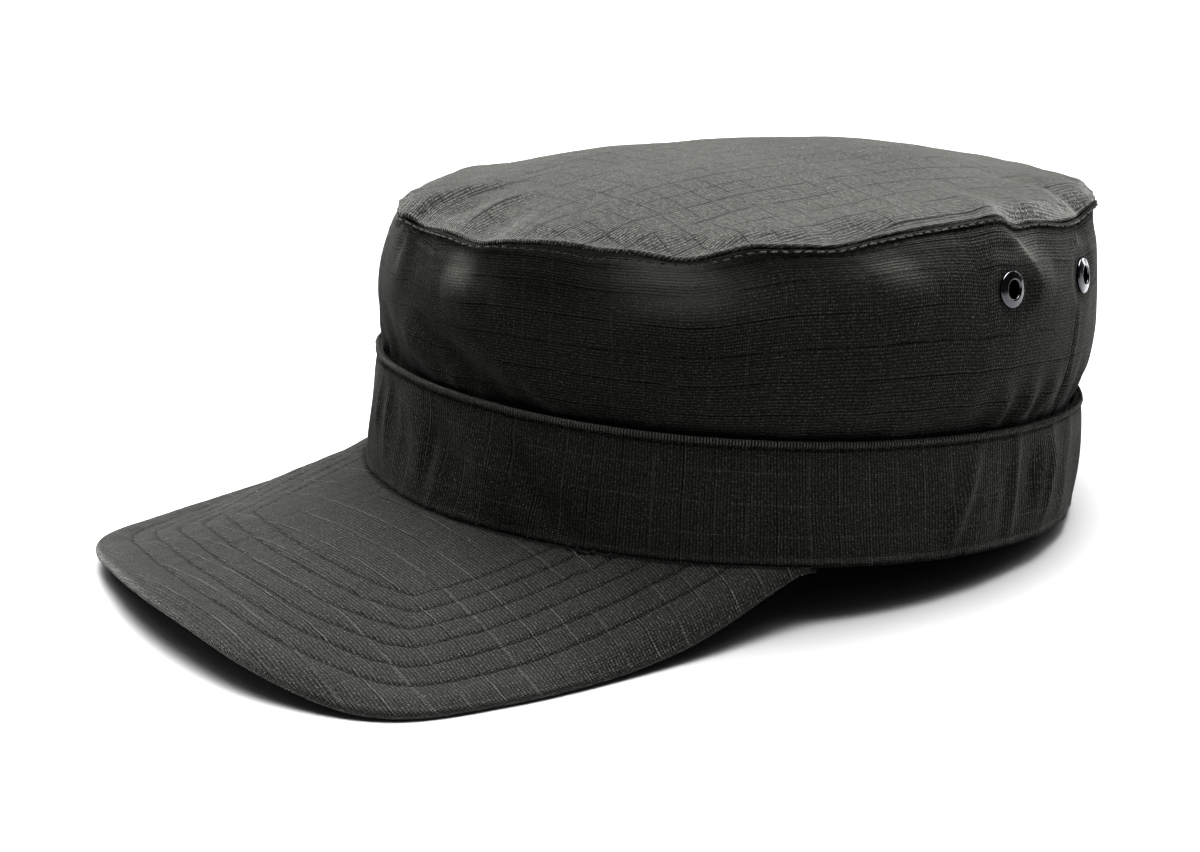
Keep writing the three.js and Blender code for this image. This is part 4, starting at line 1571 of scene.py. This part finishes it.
    def add_wall(self, builder: MeshBuilder) -> None:
        """Adds the wall as one closed sleeve: up the face, over the fold, down the back and under the hem.

        Args:
            builder: Takes the wall's mesh.
        """
        angle = ring_angles(self.steps)
        shares = np.concatenate([
            np.linspace(0.0, 0.14, 12, endpoint=False),
            np.linspace(0.14, 0.84, 34, endpoint=False),
            np.linspace(0.84, 1.0, 18),
        ])
        outer, out, wear_and_painted_light = self.surface(angle, np.broadcast_to(shares, (self.steps, len(shares))))
        half = self.thickness / 2
        fold, hem = [], []
        for turn in np.radians(self.FOLD_TURNS):
            inwards = half * (1 - math.cos(turn)) * out[:, 0]
            lift = half * math.sin(turn) * UPRIGHT
            fold.append(outer[:, -1] - inwards + self.FOLD_HEIGHT * lift)
            hem.append(outer[:, 0] - inwards - self.FOLD_HEIGHT * self.HEM_DEPTH * lift)
        back = np.linspace(1.0, 0.0, 14)
        low, high = HEM.point(angle)[:, None], BAND_TOP.point(angle)[:, None]
        inner = low + (high - low) * back[:, None] - self.thickness * out[:, :1]
        loop = np.concatenate([outer, np.stack(fold, 1), inner, np.stack(hem[::-1], 1)], 1)
        loop = np.concatenate([loop, loop[:, :1]], 1).transpose(1, 0, 2)
        tall, bend = BAND_TOP.front, np.linspace(0.2, 1.6, len(fold))
        back_start = tall + self.BEND_LENGTH
        hem_start = back_start + tall + 0.2
        run = np.concatenate([
            shares * tall,
            tall + bend,
            back_start + (1 - back) * tall,
            hem_start + bend,
            [hem_start + self.BEND_LENGTH],
        ])
        across = np.append(angle, 180.0) / 360 * self.around
        flat = np.stack(np.broadcast_arrays(across[None], run[:, None]), -1)
        painted_light_and_wear_map = np.zeros(loop.shape[:2])
        painted_light_and_wear_map[: len(shares)] = wear_and_painted_light.T
        painted_light_and_wear_map[len(shares) : len(shares) + len(fold)] = self.FOLD_WEAR_AND_HIGHLIGHT
        builder.grid(loop, flat, painted_light_and_wear_map, closed=True)

    def add_edge(self, builder: MeshBuilder) -> None:
        """Adds the folded upper edge, whose ribs stand out like a cord's strands.

        Args:
            builder: Takes the edge's mesh.
        """
        strands = int(self.around / self.rib_pitch)
        angle = ring_angles(strands * self.STRAND_STEPS)
        outer, out, _ = self.surface(angle, np.ones((len(angle), 1)))
        outer, out = outer[:, 0], out[:, 0]
        centre = outer - (self.edge_radius - 0.3) * out + 0.1 * UPRIGHT
        phase = np.arange(len(angle)) * (2 * math.pi / self.STRAND_STEPS)
        rows = []
        for number, turn in enumerate(np.radians(self.EDGE_TURNS)):
            radius = self.edge_radius + self.STRAND_RISE * np.cos(phase + self.STRAND_TWIST * number)
            spoke = math.cos(turn) * out + math.sin(turn) * UPRIGHT
            rows.append(centre + radius[:, None] * spoke)
        across = np.append(angle, 180.0) / 360 * self.around
        up = self.EDGE_FLAT_START + np.arange(len(rows)) * self.EDGE_FLAT_STEP
        flat = np.stack(np.broadcast_arrays(across[None], up[:, None]), -1)
        # Each strand's crest is lighter: rubbing, and a painted highlight of the light the ribs catch.
        rubbed_and_highlit_strands = np.maximum(0.35 + 0.75 * np.cos(phase + 0.6), 0.0)
        wear_and_painted_light = np.broadcast_to(rubbed_and_highlit_strands, (len(rows), len(angle)))
        builder.grid(np.stack(rows), flat, wear_and_painted_light, closed=True)

    def stitch_rows(self) -> list[StitchRow]:
        """The row under the folded edge, the row above the free hem, and the loose ends of thread."""
        rows = []
        ring = ring_angles(self.thread_steps)
        free = turn_between(0.0, np.linspace(self.hem_from, 360 - self.hem_from, self.hem_thread_steps))
        upper, lower = 1 - self.stitch_drop / self.height(ring), self.hem_stitch / self.height(free)
        for angle, share, closed in ((ring, upper, True), (free, lower, False)):
            points, normals, _ = self.surface(angle, share)
            row = StitchRow(points[:, 0], normals[:, 0], pitch=2.7, fill=0.72, radius=0.15, closed=closed)
            rows.append(row)
        for start, end, lift in self.LOOSE_ENDS:
            way = np.linspace(0.0, 1.0, self.LOOSE_END_STEPS)
            angle = (start + (end - start) * way) / self.around * 360
            share = lift * np.sin(way * math.pi * self.LOOSE_END_CURL) / self.LOOSE_END_BAND
            points, normals, _ = self.surface(angle, share[:, None])
            path = points[:, 0] + self.LOOSE_END_LIFT * normals[:, 0]
            rows.append(StitchRow(path, normals[:, 0], abs(end - start) / 2, fill=0.96, radius=0.3))
        return rows


@dataclass(frozen=True)
class Fall:
    """How the visor falls forwards of the hem: its slope there, and how the slope eases further out."""

    slope: float
    flattening: float


@dataclass
class Visor:
    """The visor: a board in cloth, bent over the hem, with rows of stitches that follow its edge.

    Its outer edge is given in plan, as a reach from a centre inside the hem in directions from the
    front towards the wearer's left.
    """

    thickness: float = 3.4
    tip_thickness: float = 1.6
    half_angle: float = 66.0
    tip_reach: float = 3.5
    floor_bend: float = 3.0
    press: float = 0.7
    first_row: float = 9.2
    row_pitch: float = 5.95
    rows: int = 6
    drop: float = 1.0
    steps: int = 300
    across: int = 150
    under: int = 60
    swell: float = 2.1
    swell_width: float = 15.0

    SWELL_AT = (-68.0, -97.0)
    MIDDLE = Fall(slope=0.3, flattening=0.0008)
    LEFT = Fall(slope=0.37, flattening=-0.0006)
    RIGHT = Fall(slope=0.62, flattening=0.0042)
    CENTRE = (0.0, -45.0)
    REACH = (
        (-90, 82.5), (-68, 90), (-47, 111), (-33, 125.6), (-18, 123), (0, 122),
        (18, 124.5), (33, 122.5), (45, 109), (68, 89), (90, 82.5),
    )

    UPPER_SEED = 41
    UNDER_SEED = 51
    EDGE_STEPS = 500
    PLACES_AT_ONCE = 4096
    ROLL_TURNS = (15, 30, 45, 60, 75, 90, 105, 120, 135, 150, 165)
    UNDER_RELIEF = 0.7
    GROOVE = Ridge(place=0, width=0.5, rise=-0.3)
    QUILTING = Ridge(place=2.6, width=1.9, rise=0.07)
    EDGE_ROLL = Ridge(place=5.2, width=2.6, rise=0.3)
    # Painted shade: darker lines in the grooves of the visor's stitch rows.
    ROW_PAINTED_SHADE = Ridge(place=0, width=0.3, rise=-0.5)
    # The visor's rounded edge is lighter at its outermost rows: rubbing, and a painted highlight.
    ROLL_WEAR_AND_HIGHLIGHT = 0.3
    ROW_SWEEP = 96.0
    ROW_STEPS = 420
    HALVINGS = 24

    def height(self, x: Array, y: Array) -> Array:
        """The height of the board's upper face: it falls from the hem and bends to rest on the floor."""
        side = np.clip(np.abs(x) / HEM.half_width, 0.0, 0.985)
        front = HEM.shift - HEM.half_length * (1 - side**HEM.power) ** (1 / HEM.power)
        forwards = np.maximum(0.0, front - y)
        weight = (x / HEM.half_width) ** 2
        side_slope = np.where(x > 0, self.LEFT.slope, self.RIGHT.slope)
        side_ease = np.where(x > 0, self.LEFT.flattening, self.RIGHT.flattening)
        slope = self.MIDDLE.slope + weight * (side_slope - self.MIDDLE.slope)
        flattening = self.MIDDLE.flattening + weight * (side_ease - self.MIDDLE.flattening)
        hanging = -SEWN_GAP - slope * forwards + flattening * forwards**2
        resting = STANCE.floor_height(y) + self.thickness - self.press
        swell = self.swell * bell(np.hypot(x - self.SWELL_AT[0], y - self.SWELL_AT[1]), self.swell_width)
        return (hanging + resting + np.hypot(hanging - resting, self.floor_bend)) / 2 + swell

    def from_centre(self, directions: Array, reach: Array) -> tuple[Array, Array]:
        """Places in plan at a reach from the centre, in directions in radians."""
        return self.CENTRE[0] + reach * np.sin(directions), self.CENTRE[1] - reach * np.cos(directions)

    def edge(self, count: int) -> Array:
        """The outer edge in plan, as evenly spaced points."""
        directions, reach = (np.array(column, float) for column in zip(*self.REACH))
        x, y = self.from_centre(np.radians(directions), reach)
        curve = catmull_rom(np.stack([x, y, np.zeros_like(x)], -1)[None], 60)[0]
        run = run_along(curve)
        return read_path(curve[:, :2], run, np.linspace(0.0, run[-1], count))

    def inset(self, x: Array, y: Array) -> Array:
        """How far inside the outer edge a place lies in plan."""
        edge = self.edge(self.EDGE_STEPS)
        flat = np.stack([x.ravel(), y.ravel()], -1)
        result = np.empty(len(flat))
        for start in range(0, len(flat), self.PLACES_AT_ONCE):
            apart = flat[start : start + self.PLACES_AT_ONCE, None] - edge[None]
            result[start : start + self.PLACES_AT_ONCE] = np.sqrt((apart**2).sum(-1).min(1))
        return result.reshape(x.shape)

    def row_places(self) -> list[float]:
        """How far inside the edge each row of stitches runs."""
        return [self.first_row + row * self.row_pitch for row in range(self.rows)]

    def relief(self, x: Array, y: Array, inset: Array, seed: int) -> Array:
        """Small relief of the visor's cloth: quilting between the rows, puckers and pulls."""
        pucker = cloth_noise(seed + 2)
        direction = np.degrees(np.arctan2(x - self.CENTRE[0], self.CENTRE[1] - y))
        rise = PlanRipple(seed, 26, 0.22).at(x, y) + PlanRipple(seed + 1, 7, 0.09).at(x, y)
        rise = rise + 0.1 * pucker.at(direction / 1.3 + 200, inset / 9) * smooth_step(inset, 1.0, 4.0)
        for place in self.row_places():
            rise = rise + self.GROOVE.at(inset - place) + self.QUILTING.at(inset - place)
        pull = pucker.at(direction / 2.1 + 90, inset / 3.5 + 20)
        quilted = smooth_step(inset, 3.0, 9.0) * (1 - smooth_step(inset, self.row_places()[-1], 46.0))
        rise = rise + 0.16 * pull * quilted + self.EDGE_ROLL.at(inset)
        return rise - self.drop * np.clip(1 - inset / 5.5, 0.0, 1.0) ** 2

    def build(self, finish: bpy.types.Material, thread: bpy.types.Material) -> list[bpy.types.Object]:
        """Makes the visor and its rows of stitches.

        Args:
            finish: The cloth.
            thread: The thread.

        Returns:
            The visor's object and the thread's object.
        """
        angle = self.half_angle * np.linspace(-1.0, 1.0, self.steps)
        inner = HEM.point(angle) - HEM.outward(angle)
        outer = np.concatenate([self.edge(self.steps), np.zeros((self.steps, 1))], -1)
        reach = np.maximum(self.tip_reach, np.linalg.norm(outer - inner, axis=-1))
        ahead = unit(outer - inner)
        full = smooth_step(reach, self.tip_reach, 25.0)
        thickness = self.tip_thickness + (self.thickness - self.tip_thickness) * full
        radius = thickness / 2
        upper, lead, wear_and_painted_light = self.face(inner, ahead, reach - radius, self.across, self.UPPER_SEED)
        lower, trail, _ = self.face(inner, ahead, reach - radius, self.under, self.UNDER_SEED)
        lower[..., 2] -= thickness[:, None] + (1 + self.UNDER_RELIEF) * trail
        roll, rolled = [], []
        for turn in np.radians(self.ROLL_TURNS):
            spot = inner + ahead * (reach - radius + radius * math.sin(turn))[:, None]
            blend = (1 - math.cos(turn)) / 2
            level = self.height(spot[:, 0], spot[:, 1]) - thickness * blend
            level = level + lead[:, -1] * (1 - blend) - self.UNDER_RELIEF * trail[:, -1] * blend
            roll.append(np.concatenate([spot[:, :2], level[:, None]], -1))
            wrap = radius * (turn - math.sin(turn))
            rolled.append(spot[:, :2] + ahead[:, :2] * wrap[:, None])
        loop = np.concatenate([upper, np.stack(roll, 1), lower[:, ::-1]], 1)
        under = lower[:, ::-1, :2] + (ahead[:, :2] * (radius * (math.pi - 2))[:, None])[:, None]
        flat = np.concatenate([upper[..., :2], np.stack(rolled, 1), under], 1)
        painted_light_and_wear_map = np.zeros(loop.shape[:2])
        painted_light_and_wear_map[:, : self.across] = wear_and_painted_light
        painted_light_and_wear_map[:, self.across + 5 : self.across + 7] = self.ROLL_WEAR_AND_HIGHLIGHT
        builder = MeshBuilder("visor_cloth")
        index = builder.grid(loop, flat, painted_light_and_wear_map, flip=True)
        matching = np.linspace(0, self.across - 1, self.under).astype(int)
        first_upper, last_upper = index[0, matching], index[-1, matching]
        first_lower, last_lower = (index[end, self.across + len(roll) :][::-1] for end in (0, -1))
        builder.bridge(first_upper, first_lower)
        builder.bridge(last_lower, last_upper)
        sewing = Stitching("visor_thread", 7)
        for place in self.row_places():
            for below in (False, True):
                path, normals = self.row_path(place, below)
                sewing.add(StitchRow(path, normals, pitch=2.5, fill=0.74, radius=0.16, proud=0.06))
        return [builder.build(finish), sewing.build(thread)]

    def face(self, inner: Array, ahead: Array, run: Array, count: int,
             seed: int) -> tuple[Array, Array, Array]:
        """One face of the visor as a grid from the hem to the start of its rounded edge.

        Args:
            inner: Where each line over the visor starts.
            ahead: Each line's direction in plan.
            run: Each line's length.
            count: Points to a line.
            seed: Sets the small relief.

        Returns:
            Points, relief and a map of colour: painted shade in the stitch rows and at the band, and a
                darker outer edge.
        """
        from_hem = run[:, None] * (1 - (1 - np.linspace(0.0, 1.0, count)) ** 1.15)
        plan = inner[:, None] + ahead[:, None] * from_hem[..., None]
        x, y = plan[..., 0], plan[..., 1]
        inset = self.inset(x, y)
        relief = self.relief(x, y, inset, seed) * smooth_step(from_hem, 0.5, 4.0)
        wear_and_painted_light = sum(self.ROW_PAINTED_SHADE.at(inset - place) for place in self.row_places())
        # Darker within 4 mm of the outer edge.
        wear_and_painted_light = wear_and_painted_light - 0.2 * np.clip(1 - inset / 4.0, 0.0, 1.0)
        # Painted shadow: a dark line where the visor meets the band.
        wear_and_painted_light = wear_and_painted_light - 0.9 * (1 - smooth_step(from_hem, 1.5, 2.3))
        return np.stack([x, y, self.height(x, y) + relief], -1), relief, wear_and_painted_light

    def row_path(self, place: float, below: bool) -> tuple[Array, Array]:
        """A row's path over the visor and the directions square to it.

        Args:
            place: How far inside the edge the row runs.
            below: Whether it is the underside's.

        Returns:
            Points and directions.
        """
        directions = np.radians(np.linspace(-self.ROW_SWEEP, self.ROW_SWEEP, self.ROW_STEPS))
        low = np.zeros_like(directions)
        high = np.interp(np.degrees(directions), *zip(*self.REACH)) - 0.5
        for _ in range(self.HALVINGS):
            middle = (low + high) / 2
            inside = self.inset(*self.from_centre(directions, middle)) > place
            low, high = np.where(inside, middle, low), np.where(inside, high, middle)
        x, y = self.from_centre(directions, low)
        hem_radius = np.hypot(x / (HEM.half_width + 0.2), (y - HEM.shift) / (HEM.half_length + 0.2))
        ahead = (hem_radius > 1.0) & (y < -20)
        x, y = x[ahead], y[ahead]
        slope_x = self.height(x + 0.5, y) - self.height(x - 0.5, y)
        slope_y = self.height(x, y + 0.5) - self.height(x, y - 0.5)
        normals = unit(np.stack([-slope_x, -slope_y, np.ones_like(x)], -1))
        relief = self.relief(x, y, self.inset(x, y), self.UNDER_SEED if below else self.UPPER_SEED)
        face = self.height(x, y)
        if below:
            return np.stack([x, y, face - self.thickness - self.UNDER_RELIEF * relief], -1), -normals
        return np.stack([x, y, face + relief], -1), normals


@dataclass(frozen=True)
class Lamp:
    """A soft rectangular light, its places and size in metres and its power in watts."""

    name: str
    place: tuple[float, float, float]
    target: tuple[float, float, float]
    size: tuple[float, float]
    power: float


@dataclass(frozen=True)
class Studio:
    """A pale floor, soft lights and the photograph's camera.

    The camera's place and directions are in the cap's own frame, and its focal length is in pixels of
    the photograph's width.
    """

    eye: tuple[float, float, float] = (479.33, -399.77, 209.66)
    back: tuple[float, float, float] = (0.7628, -0.5712, 0.3031)
    right: tuple[float, float, float] = (0.6036, 0.7971, -0.0167)
    focal: float = 2412.73
    picture_width: float = 1200.0
    sensor: float = 36.0
    floor_reach: float = 12.0
    world_light: float = 0.08

    LAMPS = (
        Lamp("backdrop_light", place=(-0.9, 0.9, 2.2), target=(-0.4, 0.4, 0.0), size=(4.5, 4.5), power=74.0),
        Lamp("overhead", place=(-0.25, 0.2, 1.5), target=(0.0, 0.0, 0.0), size=(1.3, 1.3), power=42.0),
        Lamp("right_side", place=(-0.1, 2.0, 0.45), target=(0.0, 0.1, 0.05), size=(0.5, 0.7), power=6.8),
        Lamp("left_back", place=(-1.7, 0.5, 0.5), target=(0.0, -0.1, 0.03), size=(0.7, 0.6), power=2.0),
    )

    @staticmethod
    def hang(name: str, content: bpy.types.ID, axes: tuple[Array, Array, Array],
             place: Array) -> bpy.types.Object:
        """Adds an object at a place, its own X, Y and Z along three directions.

        Args:
            name: The object's name.
            content: Its camera or light.
            axes: The directions.
            place: The place in metres.

        Returns:
            The object.
        """
        holder = bpy.data.objects.new(name, content)
        matrix = Matrix.Identity(4)
        for column, values in enumerate((*axes, place)):
            for row in range(3):
                matrix[row][column] = float(values[row])
        holder.matrix_world = matrix
        bpy.context.scene.collection.objects.link(holder)
        return holder

    def add_camera(self) -> None:
        """Sets the camera at the photograph's place."""
        camera = bpy.data.cameras.new("camera")
        camera.sensor_fit = "HORIZONTAL"
        camera.sensor_width = self.sensor
        camera.lens = self.focal / self.picture_width * self.sensor
        camera.clip_start, camera.clip_end = 0.01, 50.0
        back, right = unit(np.array(self.back)), np.array(self.right)
        right = unit(right - (right @ back) * back)
        place = (np.array(self.eye) + STANCE.shift) * MM
        bpy.context.scene.camera = self.hang("camera", camera, (right, np.cross(back, right), back), place)

    def add_lamp(self, lamp: Lamp) -> None:
        """Adds one light, facing its target."""
        light = bpy.data.lights.new(lamp.name, "AREA")
        light.shape = "RECTANGLE"
        light.size, light.size_y = lamp.size
        light.energy = lamp.power
        aim = unit(np.array(lamp.place) - np.array(lamp.target))
        side = unit(np.cross(UPRIGHT, aim))
        self.hang(lamp.name, light, (side, np.cross(aim, side), aim), np.array(lamp.place))

    def add_floor(self) -> None:
        """Lays the pale floor."""
        reach = self.floor_reach
        corners = [(-reach, -reach, 0), (reach, -reach, 0), (reach, reach, 0), (-reach, reach, 0)]
        mesh = bpy.data.meshes.new("floor")
        mesh.from_pydata(corners, [], [(0, 1, 2, 3)])
        graph = ShaderGraph("pale_floor")
        graph.set(Base_Color=(0.66, 0.66, 0.665, 1), Roughness=0.4, Specular_IOR_Level=0.3)
        mesh.materials.append(graph.material)
        floor = bpy.data.objects.new("floor", mesh)
        bpy.context.scene.collection.objects.link(floor)

    def add_world(self) -> None:
        """Adds the faint light from all round, and sets how the picture is developed."""
        world = bpy.data.worlds.new("studio")
        world.use_nodes = True
        background = world.node_tree.nodes["Background"]
        background.inputs["Color"].default_value = (1.0, 1.0, 1.0, 1.0)
        background.inputs["Strength"].default_value = self.world_light
        bpy.context.scene.world = world
        view = bpy.context.scene.view_settings
        view.view_transform = "Standard"
        view.look = "High Contrast"

    def build(self) -> None:
        """Sets up the whole studio."""
        self.add_camera()
        self.add_floor()
        self.add_world()
        for lamp in self.LAMPS:
            self.add_lamp(lamp)


def dress(pieces: list[bpy.types.Object], node: str) -> None:
    """Lets pieces ride on the part's root in place of the node that the first one stands for, and hides that
    node.

    Args:
        pieces: The pieces.
        node: The replaced node.
    """
    for piece in pieces:
        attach(piece, "root")
    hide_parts(node)
    LOG.info("%s: %s", node, ", ".join(f"{p.name} {len(p.data.polygons)} faces" for p in pieces))


def main() -> None:
    """Builds the studio and every piece in order."""
    Studio().build()
    thread = SewingThread().material()
    # Painted highlight: the crown seam's stitches use the same thread with much lighter fibres, for the
    # light they catch.
    highlit_seam_thread = SewingThread("highlit_seam_thread", light=0.2).material()
    metal = BlackNickel().material()
    crown = CrownShape()
    eyelets = [
        Eyelet(f"eyelet_{side}_{end}", angle=sign * angle, share=share)
        for side, sign in (("left", 1), ("right", -1))
        for end, angle, share in (("front", 96.2, 0.7), ("rear", 118.4, 0.715))
    ]
    for eyelet in eyelets:
        eyelet.settle_in(crown)
    # The same black ripstop in four copies; their tone values paint light: the top gets a lighter base
    # colour and the walls darker ones, painted overhead light and painted shade.
    side_cloth = RipstopCloth("crown_side_ripstop", thread=0.12, cross_thread=0.12, sunk=0.45,
                              sunk_cross=0.1, nap=0.2, painted_light_tone=0.65, gloss=0.12).material()
    top_cloth = RipstopCloth("crown_top_ripstop", grain=Grain.UPWARDS, thread=0.12, cross_thread=0.08,
                             sunk=1.3, sunk_cross=0.6, lint=1.0, nap=0.8, gloss=0.4,
                             painted_light_tone=1.6, speckle=0.9, relief=0.3).material()
    band_cloth = RipstopCloth("band_ripstop", grain=Grain.UPWARDS, thread=0.3, cross_thread=0.2,
                              sunk=0.2, nap=0.18, painted_light_tone=0.76, gloss=0.13).material()
    visor_cloth = RipstopCloth("visor_ripstop", thread=0.5, cross_thread=0.1, sunk=0.15, lint=0.9,
                               nap=0.75, painted_light_tone=0.9).material()
    dress(CrownSide(crown, eyelets).build(side_cloth, highlit_seam_thread), "crown_side")
    dress([CrownTop(crown).build(top_cloth)], "crown_top")
    dress(Band().build(band_cloth, thread), "band")
    dress(Visor().build(visor_cloth, thread), "visor")
    for eyelet in eyelets:
        dress([eyelet.build(metal)], eyelet.node)


if __name__ == "__main__":
    logging.basicConfig(level=logging.INFO, format="%(name)s: %(message)s")
    main()
